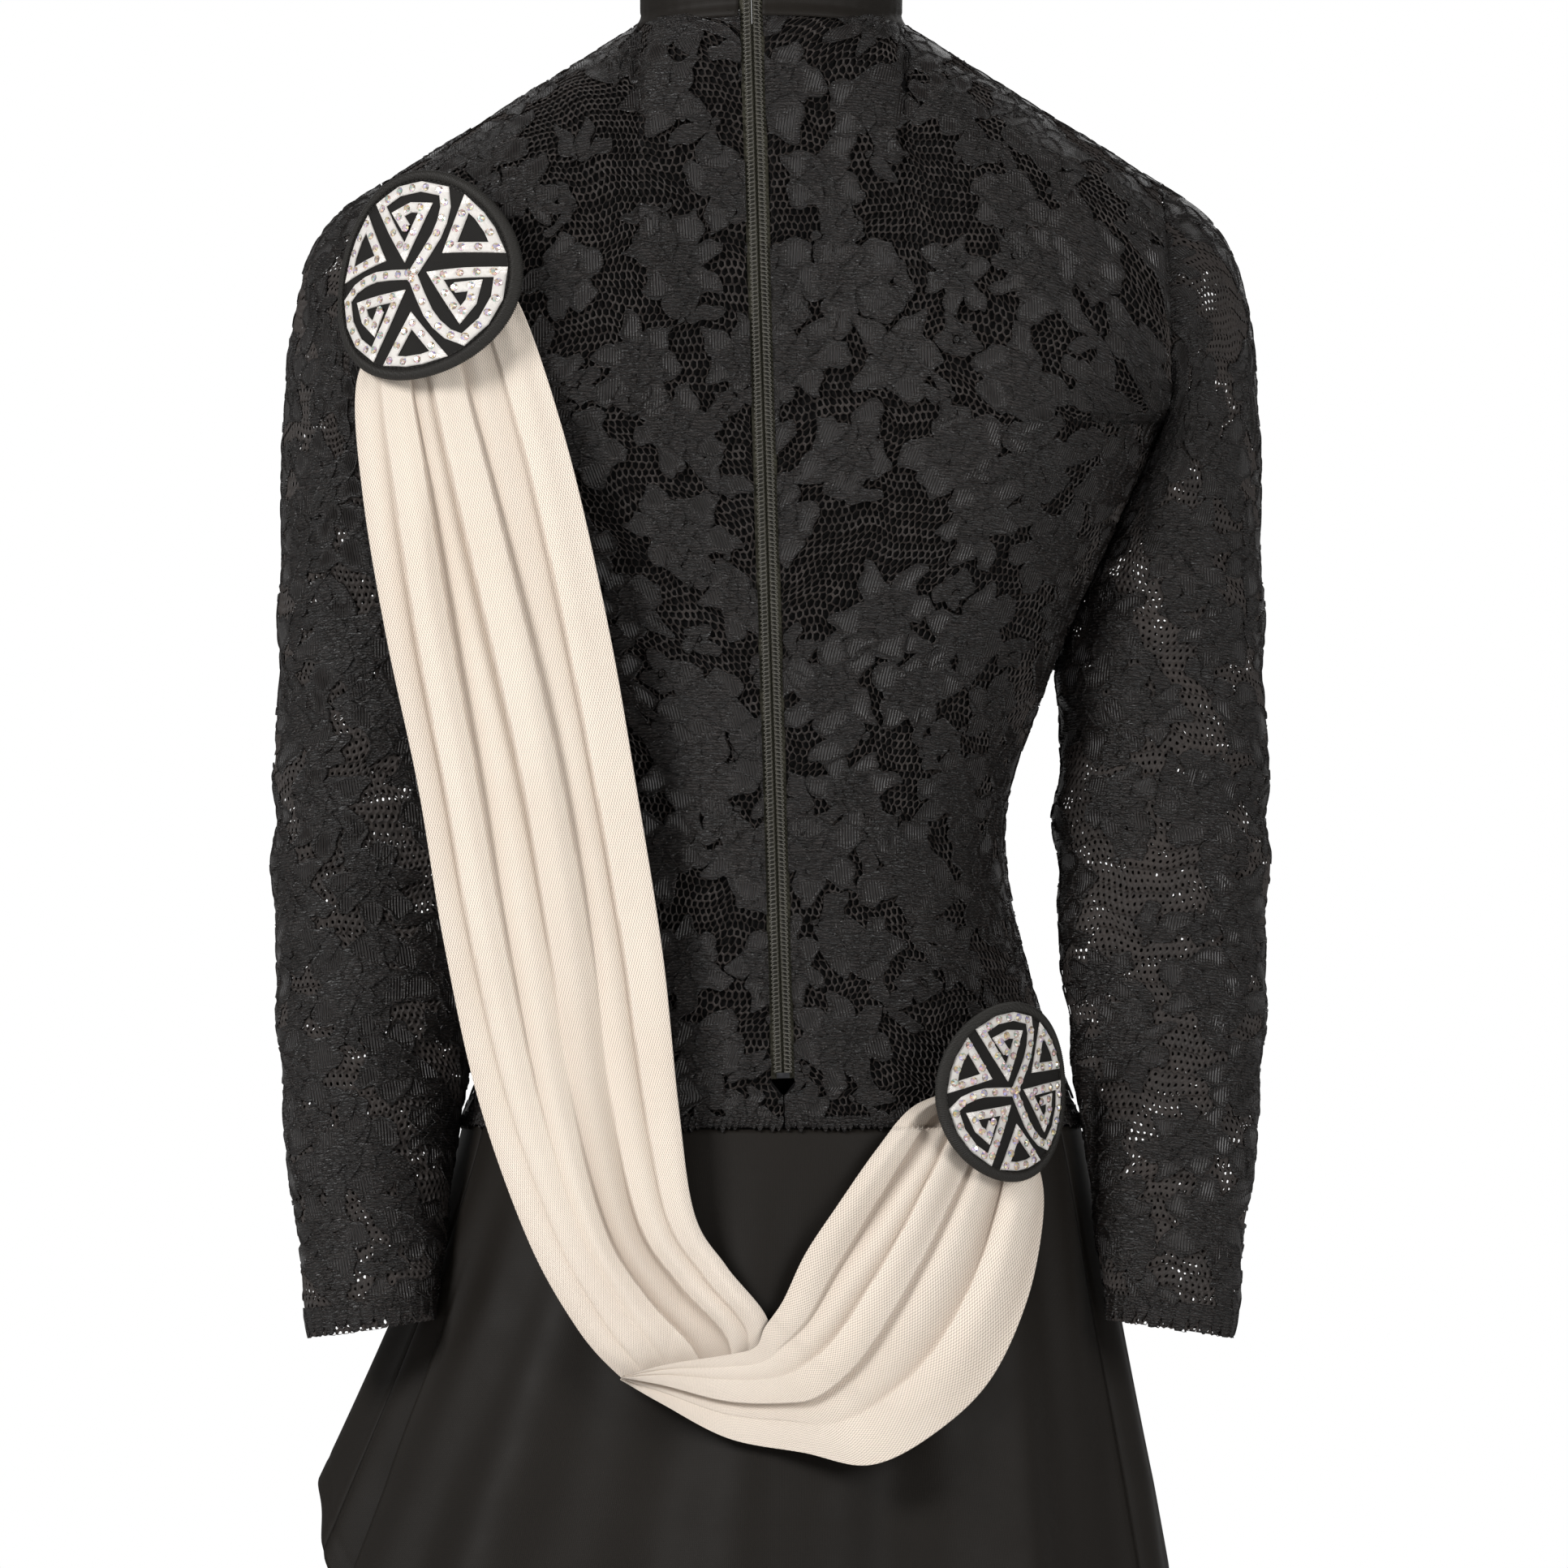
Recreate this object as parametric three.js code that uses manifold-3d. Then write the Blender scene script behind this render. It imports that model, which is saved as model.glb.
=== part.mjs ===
// A long-sleeved stretch-lace performance dress with a centre-back zip, a plain flared skirt, and a mesh
// sash that hangs across the back between two round embroidered patches.
// Millimetres, +Z up. The origin is the centre of the neck seam at nape height. The zip faces -Y and the
// wearer's left is -X. Angles round the body start at the centre back and turn towards +X.
import * as THREE from "three";
import { mergeVertices } from "three/addons/utils/BufferGeometryUtils.js";
import Module from "manifold-3d";

const wasm = await Module();
wasm.setup();

// ---- Driving dimensions ----
const seamDrop = 560; // nape to the drop-waist seam
const waistDrop = 410; // nape to the natural waist
const bustDrop = 275;
const underarmDrop = 205;
const waistHalf = 117; // half-widths seen from behind
const bustHalf = 165;
const underarmOut = 6; // how far the side seam at the underarm lies outside the shoulder point
const seamHalf = 156;
const napeDepth = 58; // centre line to the nape
const backSlope = 0.08; // how fast the centre back leans away from the centre line
const shoulderBlade = 24; // how far the shoulder blades stand proud of a plain oval
const waistFront = 84;
const bustFront = 112;
const seamFront = 88;
const neckHalf = 66;
const neckFront = 62;
const neckFrontDrop = 40; // how far the neck seam falls at the front
const neckSideDrop = 5;
const shoulderHalf = 196; // centre line to the shoulder point
const shoulderDrop = 86; // nape to the shoulder point
const armholeDepth = 57; // half the armhole, front to back
const collarHeight = 38;
const laceWall = 1.6;
const liningWall = 0.8;
const skirtWall = 1.6;
const collarWall = 2.0;
const skirtSideLeft = 175; // skirt lengths below the seam
const skirtSideRight = 240;
const skirtBack = 290;
const skirtFront = 215;
const flareLeft = 66; // how far the skirt spreads over its left side length
const flareRight = 44;
const flareBack = 58;
const flareFront = 42;
const fluteDepth = 6;
const fluteCount = 9;
const zipExposed = 11.2; // width of zip seen between the lace edges
const zipTopX = -9.8;
const zipBottomX = 6.1;
const zipToSeam = 25; // from the zip's lower end to the drop-waist seam
const tapeWall = 0.6;
const coilGap = 1.7; // clear way between the two coils, where the slider's post runs
const coilWidth = 2.4;
const coilHeight = 2.0;
const sliderWidth = 9;
const sliderLength = 11;
const sliderPlate = 1.6;
const pinRadius = 0.7;
const pullLength = 22;
const pullWidth = 5;
const pullWall = 1.2;
const sleeveDrop = 580; // from the shoulder point down to the outer end of the cuff
const cuffRise = 9; // how much higher the cuff's inner side ends
const cuffHem = 10;
const sashWall = 4;
const shoulderPatchRadius = 54;
const hipPatchRadius = 45;
const backingWall = 1.6;
const stitchWall = 1.2;
const rimRadius = 2.6; // merrowed edge cord
const stayHeight = 10;
const stayWall = 1.2;

// ---- Named clearances ----
const gap = 0.3; // between pieces that are sewn or lie together
const seamHalfGap = 0.2; // half the gap across a sewn seam
const moveGap = 0.45; // round the moving slider and its pull
const layGap = 2.0; // between the sash or a patch and what it lies on

const TURN = Math.PI / 180;
const underarmHalf = shoulderHalf + underarmOut;
const zipEndDrop = seamDrop - zipToSeam;

// ---- Smooth curves through a few chosen values ----
function through(xs, ys, x) {
  let i = 0;
  while (i < xs.length - 2 && x > xs[i + 1]) i += 1;
  const span = xs[i + 1] - xs[i];
  const t = THREE.MathUtils.clamp((x - xs[i]) / span, 0, 1);
  const slope = (k) => {
    const low = Math.max(k - 1, 0);
    const high = Math.min(k + 1, xs.length - 1);
    return (ys[high] - ys[low]) / (xs[high] - xs[low]);
  };
  const a = ys[i];
  const b = ys[i + 1];
  const rise = slope(i) * span;
  const fall = slope(i + 1) * span;
  const t2 = t * t;
  const t3 = t2 * t;
  return (2 * t3 - 3 * t2 + 1) * a + (t3 - 2 * t2 + t) * rise + (3 * t2 - 2 * t3) * b + (t3 - t2) * fall;
}

const ramp = (x, low, high) => THREE.MathUtils.smoothstep(x, low, high);
const mix = THREE.MathUtils.lerp;

// ---- The body form that every bodice piece follows ----
const widthHeights = [-seamDrop, -(seamDrop + waistDrop) / 2, -waistDrop, -(waistDrop + bustDrop) / 2, -bustDrop,
  -underarmDrop];
const widthValues = [seamHalf, (seamHalf + waistHalf) / 2 - 7, waistHalf, (waistHalf + bustHalf) / 2 - 5, bustHalf,
  underarmHalf];
const frontHeights = [-seamDrop, -waistDrop, -bustDrop, -underarmDrop];
const frontValues = [seamFront, waistFront, bustFront, bustFront - 4];

const bodyHalf = (z) => through(widthHeights, widthValues, z);
const backLine = (z) => napeDepth - backSlope * z;
const frontLine = (z) => through(frontHeights, frontValues, z);
const zipX = (z) => mix(zipTopX, zipBottomX, -z / zipEndDrop);
const ahead = (angle) => Math.cos(angle) < 0;

// The oval below the underarm, as a depth from the side seam plane.
function ovalDepth(angle, z) {
  const across = Math.sin(2 * angle) ** 2;
  if (ahead(angle)) {
    const bust = 12 * Math.exp(-(((z + bustDrop) / 60) ** 2));
    return -frontLine(z) * Math.cos(angle) + bust * across;
  }
  const blade = shoulderBlade * Math.exp(-(((z + 175) / 95) ** 2));
  return backLine(z) * Math.cos(angle) + blade * across * 1.3 * Math.cos(angle);
}

// Height of the top edge, which is the neck seam and then the shoulder seam.
function topEdge(x, front) {
  const out = Math.abs(x);
  if (out > neckHalf) {
    return mix(-neckSideDrop, -shoulderDrop, (out - neckHalf) / (shoulderHalf - neckHalf));
  }
  const side = (out / neckHalf) ** 2;
  return front ? mix(-neckFrontDrop, -neckSideDrop, side) : -neckSideDrop * side;
}

function neckDepth(x, front) {
  const inside = Math.max(0, 1 - (x / neckHalf) ** 2);
  return (front ? neckFront : napeDepth) * Math.sqrt(inside);
}

// A point of the body form. level runs 0 to 1 from the seam to the underarm, and 1 to 2 from there to the top.
function bodyPoint(angle, level) {
  const front = ahead(angle);
  const facing = front ? 1 : -1;
  if (level <= 1) {
    const z = mix(-seamDrop, -underarmDrop, level);
    return new THREE.Vector3(bodyHalf(z) * Math.sin(angle), facing * ovalDepth(angle, z), z);
  }
  const rise = 1 - (2 - level) ** 2;
  const edgeX = mix(underarmHalf, shoulderHalf, rise);
  const x = edgeX * Math.sin(angle);
  const z = mix(-underarmDrop, topEdge(x, front), rise);
  const low = ovalDepth(angle, -underarmDrop);
  const top = neckDepth(x, front);
  const rounded = Math.sqrt(Math.max(0, 1 - rise ** 3));
  const off = front ? 1 : ramp(Math.abs(Math.sin(angle)), 0, 0.45);
  const keep = mix(1 - rise, rounded, off);
  const armhole = armholeDepth * Math.sqrt(Math.max(0, 4 * rise * (1 - rise))) * Math.sin(angle) ** 4;
  return new THREE.Vector3(x, facing * (top + (low - top) * keep + armhole), z);
}

const below = (z) => Math.max(0, -seamDrop - z);
function skirtHalf(side, z) {
  return side < 0
    ? seamHalf + flareLeft * (below(z) / skirtSideLeft) ** 1.15
    : seamHalf + flareRight * (below(z) / skirtSideRight) ** 0.9;
}
const skirtBackLine = (z) => backLine(-seamDrop) + flareBack * (below(z) / skirtBack);
const skirtFrontLine = (z) => seamFront + flareFront * (below(z) / skirtFront);

// How far the back of the bodice or the skirt reaches towards -Y at a place seen from behind.
function backReach(x, z) {
  if (z < -seamDrop) {
    const half = x < 0 ? skirtHalf(-1, z) : skirtHalf(1, z);
    const share = THREE.MathUtils.clamp(x / half, -1, 1);
    return skirtBackLine(z) * Math.sqrt(1 - share * share) + fluteDepth;
  }
  if (z <= -underarmDrop) {
    const angle = Math.asin(THREE.MathUtils.clamp(x / bodyHalf(z), -1, 1));
    return ovalDepth(angle, z);
  }
  const rise = THREE.MathUtils.clamp((z + underarmDrop) / (topEdge(x, false) + underarmDrop), 0, 1);
  const edgeX = mix(underarmHalf, shoulderHalf, rise);
  const angle = Math.asin(THREE.MathUtils.clamp(x / edgeX, -1, 1));
  return -bodyPoint(angle, 2 - Math.sqrt(1 - rise)).y;
}

// ---- Solids made from a grid of points ----
// point(u, v) gives the outer face; both faces lie inset and inset + wall below it, along its normal.
function shell(point, us, vs, inset, wall, closed = false) {
  const step = 1e-3;
  const low = us[0];
  const high = us[us.length - 1];
  const bottom = vs[0];
  const top = vs[vs.length - 1];
  const sunk = (u, v, depth) => {
    const u0 = closed ? u - step : Math.max(u - step, low);
    const u1 = closed ? u + step : Math.min(u + step, high);
    const v0 = Math.max(v - step, bottom);
    const v1 = Math.min(v + step, top);
    const along = point(u1, v).sub(point(u0, v));
    const up = point(u, v1).sub(point(u, v0));
    const normal = along.cross(up).normalize();
    return point(u, v).addScaledVector(normal, -depth);
  };
  const outer = vs.map((v) => us.map((u) => sunk(u, v, inset)));
  const inner = vs.map((v) => us.map((u) => sunk(u, v, inset + wall)));
  return gridSolid(outer, inner, closed);
}

// Joins two grids of points, rows upwards and columns to the right seen from outside, into one closed solid.
function gridSolid(outer, inner, closed) {
  const rows = outer.length;
  const columns = outer[0].length;
  const places = [];
  [outer, inner].forEach((face) => face.forEach((row) => row.forEach((p) => places.push(p.x, p.y, p.z))));
  const at = (face, row, column) => (face * rows + row) * columns + (column % columns);
  const index = [];
  const quad = (a, b, c, d) => index.push(a, b, c, a, c, d);
  const last = closed ? columns : columns - 1;
  for (let r = 0; r < rows - 1; r += 1) {
    for (let c = 0; c < last; c += 1) {
      quad(at(0, r, c), at(0, r, c + 1), at(0, r + 1, c + 1), at(0, r + 1, c));
      quad(at(1, r, c), at(1, r + 1, c), at(1, r + 1, c + 1), at(1, r, c + 1));
    }
  }
  for (let c = 0; c < last; c += 1) {
    quad(at(0, 0, c), at(1, 0, c), at(1, 0, c + 1), at(0, 0, c + 1));
    quad(at(0, rows - 1, c), at(0, rows - 1, c + 1), at(1, rows - 1, c + 1), at(1, rows - 1, c));
  }
  if (!closed) {
    for (let r = 0; r < rows - 1; r += 1) {
      quad(at(0, r, 0), at(0, r + 1, 0), at(1, r + 1, 0), at(1, r, 0));
      quad(at(0, r, last), at(1, r, last), at(1, r + 1, last), at(0, r + 1, last));
    }
  }
  const geometry = new THREE.BufferGeometry();
  geometry.setAttribute("position", new THREE.Float32BufferAttribute(places, 3));
  geometry.setIndex(index);
  geometry.computeVertexNormals();
  return geometry;
}

const spread = (from, to, count) => Array.from({ length: count + 1 }, (_, i) => mix(from, to, i / count));

// ---- Joining solids ----
function solidOf(geometry) {
  const bare = geometry.clone();
  bare.deleteAttribute("normal");
  bare.deleteAttribute("uv");
  const merged = mergeVertices(bare, 1e-4);
  return new wasm.Manifold(new wasm.Mesh({
    numProp: 3,
    vertProperties: merged.attributes.position.array,
    triVerts: new Uint32Array(merged.index.array),
  }));
}

function joined(...geometries) {
  const mesh = geometries.map(solidOf).reduce((a, b) => a.add(b)).getMesh();
  const geometry = new THREE.BufferGeometry();
  geometry.setAttribute("position", new THREE.Float32BufferAttribute(mesh.vertProperties, 3));
  geometry.setIndex(Array.from(mesh.triVerts));
  geometry.computeVertexNormals();
  return geometry;
}

// ---- Materials ----
const cloth = (color, roughness = 0.9) => new THREE.MeshStandardMaterial({ color, roughness, metalness: 0 });
const metal = (color) => new THREE.MeshStandardMaterial({ color, roughness: 0.4, metalness: 1 });
const lace = () => cloth(0x232020, 0.85);
const lining = () => cloth(0x151414);
const jersey = () => cloth(0x2a2628, 0.6);

const dress = new THREE.Group();

function add(name, geometry, material, parent = dress) {
  const mesh = new THREE.Mesh(geometry, material);
  mesh.name = name;
  parent.add(mesh);
  return mesh;
}

// ---- Bodice ----
const levelOf = (z) => (z + seamDrop) / (seamDrop - underarmDrop);
const closeLevel = levelOf(-zipEndDrop - 9);
const openLevel = levelOf(-zipEndDrop - 6);
const bodyRowHeights = [[seamDrop, waistDrop, 3], [waistDrop, bustDrop, 3], [bustDrop, underarmDrop, 2]].flatMap(
  ([from, to, count]) => spread(-from, -to, count).slice(1));
const bodyLevels = bodyRowHeights.map(levelOf);
const topLevels = [1.14, 1.28, 1.42, 1.56, 1.7, 1.82, 1.92, 1.998];
const backLevels = [0.001, closeLevel, openLevel, ...bodyLevels, ...topLevels];
const frontLevels = [0.001, ...bodyLevels, ...topLevels];
const neckColumn = Math.asin(neckHalf / shoulderHalf); // the column that runs up to the neck point
const sideColumn = Math.PI / 2 - 0.0022;

// The angle of the lace edge beside the zip, at one level of the back.
function zipEdge(side, level, extra) {
  const rise = level <= 1 ? 0 : 1 - (2 - level) ** 2;
  const z = level <= 1 ? mix(-seamDrop, -underarmDrop, level) : -underarmDrop * (1 - rise);
  const half = level <= 1 ? bodyHalf(z) : mix(underarmHalf, shoulderHalf, rise);
  const away = level <= closeLevel + 1e-6 ? seamHalfGap : zipExposed / 2 + extra;
  return Math.asin((zipX(z) + side * away) / half);
}

function backHalf(side, inset, wall, extra) {
  // Columns run from 0 at the zip to 1 at the neck point, and on to the side seam in whole steps.
  const beyond = spread(neckColumn, sideColumn, 6);
  const columns = [0, 0.3, 0.65, ...beyond.map((_, i) => i + 1)];
  const angleAt = (u, level) => {
    const edge = side * zipEdge(side, level, extra);
    if (u < 1) return side * mix(edge, neckColumn, u);
    const i = Math.min(Math.floor(u - 1), beyond.length - 2);
    return side * mix(beyond[i], beyond[i + 1], u - 1 - i);
  };
  const us = side > 0 ? columns : columns.map((u) => -u).reverse();
  return shell((u, v) => bodyPoint(angleAt(Math.abs(u), v), v), us, backLevels, inset, wall);
}

function frontPanel(inset, wall) {
  const half = [0, 0.1, 0.22, ...spread(neckColumn, sideColumn, 6)];
  const angles = [...half.map((a) => Math.PI - a).reverse(), ...half.slice(1).map((a) => Math.PI + a)];
  return shell(bodyPoint, angles, frontLevels, inset, wall);
}

const liningInset = laceWall + 0.8;
add("back_lace_left", backHalf(-1, 0, laceWall, 0), lace());
add("back_lace_right", backHalf(1, 0, laceWall, 0), lace());
add("front_lace", frontPanel(0, laceWall), lace());
add("back_lining_left", backHalf(-1, liningInset, liningWall, 1), lining());
add("back_lining_right", backHalf(1, liningInset, liningWall, 1), lining());
add("front_lining", frontPanel(liningInset, liningWall), lining());

// The elastic stay sewn inside the drop-waist seam allowance.
const stayInset = liningInset + liningWall + 2.4;
const stayTop = levelOf(-seamDrop + stayHeight);
const allRound = spread(0, 2 * Math.PI, 36).slice(0, -1);
add("waist_stay", shell(bodyPoint, allRound, [0.001, stayTop], stayInset, stayWall, true), cloth(0x202020));

// ---- Stand collar, open at the zip ----
function collarPoint(angle, height) {
  const front = ahead(angle);
  const x = neckHalf * Math.sin(angle);
  const y = (front ? 1 : -1) * neckDepth(x, front);
  const lean = front ? -0.08 : backSlope;
  return new THREE.Vector3(x, y + lean * height, topEdge(x, front) + height);
}
const collarOpen = zipExposed / 2 + 0.9; // the collar's edge, clear of the leaning zip over its whole height
const collarStart = Math.asin((zipX(collarHeight / 2) + collarOpen) / neckHalf);
const collarEnd = 2 * Math.PI + Math.asin((zipX(collarHeight / 2) - collarOpen) / neckHalf);
const collarFoot = 1.2; // above the neck seam
const collarAngles = spread(collarStart, collarEnd, 28);
add("stand_collar", shell(collarPoint, collarAngles, [collarFoot, collarHeight / 2, collarHeight], 0, collarWall), jersey());

// ---- Sleeves ----
// Each ring is set by its outermost and innermost points seen from behind, its depth and how far it sits back.
// The inner side rests against the bodice down to the bust, and the cuff lies on the skirt.
function restingOnSkirt(outX, inX, z, depth) {
  const innerSide = spread(Math.PI / 2, Math.PI, 8);
  const reach = (side) => innerSide.map((a) => {
    const x = (outX + inX) / 2 + ((outX - inX) / 2) * Math.cos(a);
    return backReach(side * x, z) - fluteDepth / 2 + depth * Math.sin(a);
  });
  return Math.max(...reach(-1), ...reach(1));
}

const beside = (z, y) => bodyHalf(z) * (1 - 0.0006 * y) + layGap;
const cuffOutZ = -shoulderDrop - sleeveDrop;
const cuffInZ = cuffOutZ + cuffRise;
const sleeveShapes = [
  // outer and inner shares of the way down, how far the outer side stands out from the shoulder point, how far
  // the inner side may lie in from it, the half depth beyond the armhole's, and y of the middle
  [0, 0, 0, -underarmOut, 0, 0],
  [0.021, 0.013, 19, 60, 1, 3],
  [0.055, 0.033, 35, 60, 0, 8],
  [0.105, 0.06, 44, 60, -2, 15],
  [0.171, 0.1, 49, 60, -5, 21],
  [0.266, 0.162, 51, 60, -9, 25],
  [0.378, 0.241, 52, 60, -12, 24],
  [0.49, 0.354, 54, 49, -16, 18],
  [0.576, 0.476, 54.5, 51, -19, 9],
  [0.679, 0.604, 53, 48, -23, -5],
  [0.774, 0.726, 50, 42, -27, -21],
  [0.878, 0.856, 44, 34, -31, -39],
  [1, 1, 35, 27, -37, -61],
];
const sleeveRings = sleeveShapes.map(([outShare, inShare, out, inward, deeper, y], i) => {
  const inZ = mix(-underarmDrop, cuffInZ, inShare);
  const inX = i === 0 ? underarmHalf : Math.max(beside(inZ, y), shoulderHalf - inward);
  const outX = shoulderHalf + out;
  const depth = armholeDepth + deeper;
  const back = inZ < -seamDrop ? Math.min(y, -restingOnSkirt(outX, inX, inZ, depth)) : y;
  return [outX, mix(-shoulderDrop, cuffOutZ, outShare), inX, inZ, depth, back];
});
const sleeveSteps = sleeveRings.map((_, i) => i);
const sleeveEnd = sleeveRings.length - 1;
const lastRing = 0.122 * sleeveDrop; // length of cloth between the last two rings
const cuffStart = sleeveEnd - cuffHem / lastRing;

function sleevePoint(side, angle, step) {
  const [outX, outZ, inX, inZ, depth, y] = [0, 1, 2, 3, 4, 5].map((k) =>
    through(sleeveSteps, sleeveRings.map((ring) => ring[k]), step));
  const c = Math.cos(angle);
  const s = Math.sin(angle);
  const x = (outX + inX) / 2 + ((outX - inX) / 2) * c;
  const z = (outZ + inZ) / 2 + ((outZ - inZ) / 2) * c;
  return new THREE.Vector3(side * x, y + depth * s, z);
}

function sleeveTube(side, from, to, rings) {
  const round = spread(0, 2 * Math.PI, 16).slice(0, -1);
  const steps = spread(from, to, rings);
  // Steps run down the arm, so they are counted backwards to keep rows running upwards.
  const point = (u, v) => sleevePoint(side, side * u, -v);
  return shell(point, round, steps.map((t) => -t).reverse(), 0, laceWall, true);
}

for (const [label, side] of [["left", -1], ["right", 1]]) {
  add("sleeve_" + label, sleeveTube(side, 0.03, cuffStart, 13), lace());
  add("cuff_hem_" + label, sleeveTube(side, cuffStart + gap / lastRing, sleeveEnd, 1), lace());
}

// ---- Skirt ----
function hemLength(angle) {
  const side = Math.sin(angle) < 0 ? skirtSideLeft : skirtSideRight;
  const middle = ahead(angle) ? skirtFront : skirtBack;
  return mix(side, middle, ramp(Math.abs(Math.cos(angle)), 0.05, 0.85));
}

function skirtPoint(angle, share) {
  const z = -seamDrop - gap - share * (hemLength(angle) - gap);
  const fall = below(z) / skirtBack;
  const half = skirtHalf(Math.sin(angle), z);
  const depth = ahead(angle) ? skirtFrontLine(z) : skirtBackLine(z);
  const flute = fluteDepth * Math.min(1, fall * 1.6) ** 1.5 * Math.cos(fluteCount * angle);
  return new THREE.Vector3((half + flute) * Math.sin(angle), -(depth + flute) * Math.cos(angle), z);
}

const sideSeam = 69 * TURN; // where the back and front panels meet the side panels
const seamAngle = seamHalfGap / seamHalf;
const skirtShares = [-1, -0.86, -0.7, -0.54, -0.38, -0.22, -0.1, -0.001];
function skirtPanel(from, to, count) {
  const angles = spread(from + seamAngle, to - seamAngle, count);
  return shell((u, v) => skirtPoint(u, -v), angles, skirtShares, 0, skirtWall);
}
add("skirt_back", skirtPanel(-sideSeam, sideSeam, 20), jersey());
add("skirt_side_right", skirtPanel(sideSeam, Math.PI - sideSeam, 8), jersey());
add("skirt_front", skirtPanel(Math.PI - sideSeam, Math.PI + sideSeam, 20), jersey());
add("skirt_side_left", skirtPanel(Math.PI + sideSeam, 2 * Math.PI - sideSeam, 8), jersey());

// ---- Zip, in its own frame: local x across, local y down the zip, local z away from the back ----
const zipStart = new THREE.Vector3(zipX(collarHeight), -backLine(collarHeight), collarHeight);
const zipFinish = new THREE.Vector3(zipX(-zipEndDrop), -backLine(-zipEndDrop), -zipEndDrop);
const zipLength = zipStart.distanceTo(zipFinish);
const zipDown = zipFinish.clone().sub(zipStart).normalize();
const zipAcross = new THREE.Vector3().crossVectors(zipDown, new THREE.Vector3(0, -1, 0)).normalize();
const zipOut = new THREE.Vector3().crossVectors(zipAcross, zipDown);
const zip = new THREE.Group();
zip.applyMatrix4(new THREE.Matrix4().makeBasis(zipAcross, zipDown, zipOut).setPosition(zipStart));
dress.add(zip);

function block(x0, x1, y0, y1, z0, z1) {
  const geometry = new THREE.BoxGeometry(x1 - x0, y1 - y0, z1 - z0);
  geometry.translate((x0 + x1) / 2, (y0 + y1) / 2, (z0 + z1) / 2);
  return geometry;
}

function along(shape, length, start) {
  const geometry = new THREE.ExtrudeGeometry(shape, { depth: length, bevelEnabled: false, curveSegments: 6 });
  geometry.rotateX(-Math.PI / 2);
  geometry.translate(0, start, 0);
  return geometry;
}

const coilFoot = -1.7; // the coil's underside, below the face of the lace
const coilTop = coilFoot + coilHeight;
const tapeTop = coilFoot - gap;
const stopLength = 3;
const coilStart = stopLength + gap;
const coilEnd = zipLength - stopLength;

for (const [label, side] of [["left", 1], ["right", -1]]) {
  const near = coilGap / 2;
  const far = zipExposed / 2 - seamHalfGap * 2;
  const [x0, x1] = side > 0 ? [near, far] : [-far, -near];
  add("zip_tape_" + label, block(x0, x1, 0, zipLength, tapeTop - tapeWall, tapeTop), cloth(0x3a3a2e), zip);
  const [c0, c1] = side > 0 ? [near, near + coilWidth] : [-near - coilWidth, -near];
  const section = new THREE.Shape();
  section.moveTo(c0, -coilFoot);
  section.lineTo(c1, -coilFoot);
  section.lineTo(c1, -coilFoot - coilHeight * 0.6);
  section.absarc((c0 + c1) / 2, -coilFoot - coilHeight * 0.6, coilWidth / 2, 0, -Math.PI, true);
  add("zip_coil_" + label, along(section, coilEnd - coilStart, coilStart), cloth(0x111111, 0.5), zip);
  add("zip_top_stop_" + label, block(c0, c1, 0, stopLength, coilFoot, coilTop - 0.2), metal(0x222222), zip);
}
add("zip_bottom_stop", block(-coilGap / 2 - coilWidth, coilGap / 2 + coilWidth, coilEnd + gap, zipLength,
  coilFoot, coilTop), metal(0x222222), zip);

// Slider: two plates joined by a post between the coils, with two lugs and the pin that the pull swings on.
const plateFoot = coilTop + moveGap;
const plateTop = plateFoot + sliderPlate;
const lugHeight = 3.9;
const lugWall = 1.0;
const lugInside = 2.1;
const eyeWall = 0.9;
const pinOut = plateTop + pinRadius + 2 * moveGap + eyeWall;
const sliderTop = 1; // where the closed slider's upper end sits
const pinDown = sliderTop + 3.2;
const underPlate = tapeTop - tapeWall - moveGap;

function sliderGeometry() {
  const half = sliderWidth / 2;
  const end = sliderTop + sliderLength;
  const post = coilGap / 2 - 0.4;
  const pin = new THREE.CylinderGeometry(pinRadius, pinRadius, 2 * lugInside + lugWall, 12);
  pin.rotateZ(Math.PI / 2);
  pin.translate(0, pinDown, pinOut);
  const lug = (side) => {
    const near = side * lugInside;
    const far = side * (lugInside + lugWall);
    return block(Math.min(near, far), Math.max(near, far), pinDown - 2, pinDown + 2, plateTop - 0.2,
      plateTop + lugHeight);
  };
  return joined(
    block(-half, half, sliderTop, end, plateFoot, plateTop),
    block(-half, half, sliderTop, end, underPlate - sliderPlate, underPlate),
    block(-post, post, sliderTop + 1, sliderTop + 5, underPlate - 0.4, plateFoot + 0.4),
    lug(-1),
    lug(1),
    pin,
  );
}

function pullGeometry() {
  const eyeOuter = pinRadius + moveGap + eyeWall;
  const eyeShape = new THREE.Shape();
  eyeShape.absarc(0, 0, eyeOuter, 0, 2 * Math.PI);
  const hole = new THREE.Path();
  hole.absarc(0, 0, pinRadius + moveGap, 0, 2 * Math.PI);
  eyeShape.holes.push(hole);
  const eyeWidth = 2 * (lugInside - moveGap);
  const eye = new THREE.ExtrudeGeometry(eyeShape, { depth: eyeWidth, bevelEnabled: false, curveSegments: 10 });
  eye.translate(0, 0, -eyeWidth / 2);
  eye.rotateY(Math.PI / 2);
  eye.translate(0, pinDown, pinOut);
  const out = pinOut + eyeOuter - pullWall;
  const neckStart = pinDown + pinRadius + moveGap + 0.3;
  const neckEnd = sliderTop + 8;
  const neck = block(-eyeWidth / 2, eyeWidth / 2, neckStart, neckEnd, out, out + pullWall);
  const tab = block(-pullWidth / 2, pullWidth / 2, neckEnd - 0.5, pinDown + pullLength, out, out + pullWall);
  return joined(eye, neck, tab);
}
add("zip_slider", sliderGeometry(), metal(0x1c1c1c), zip);
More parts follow.
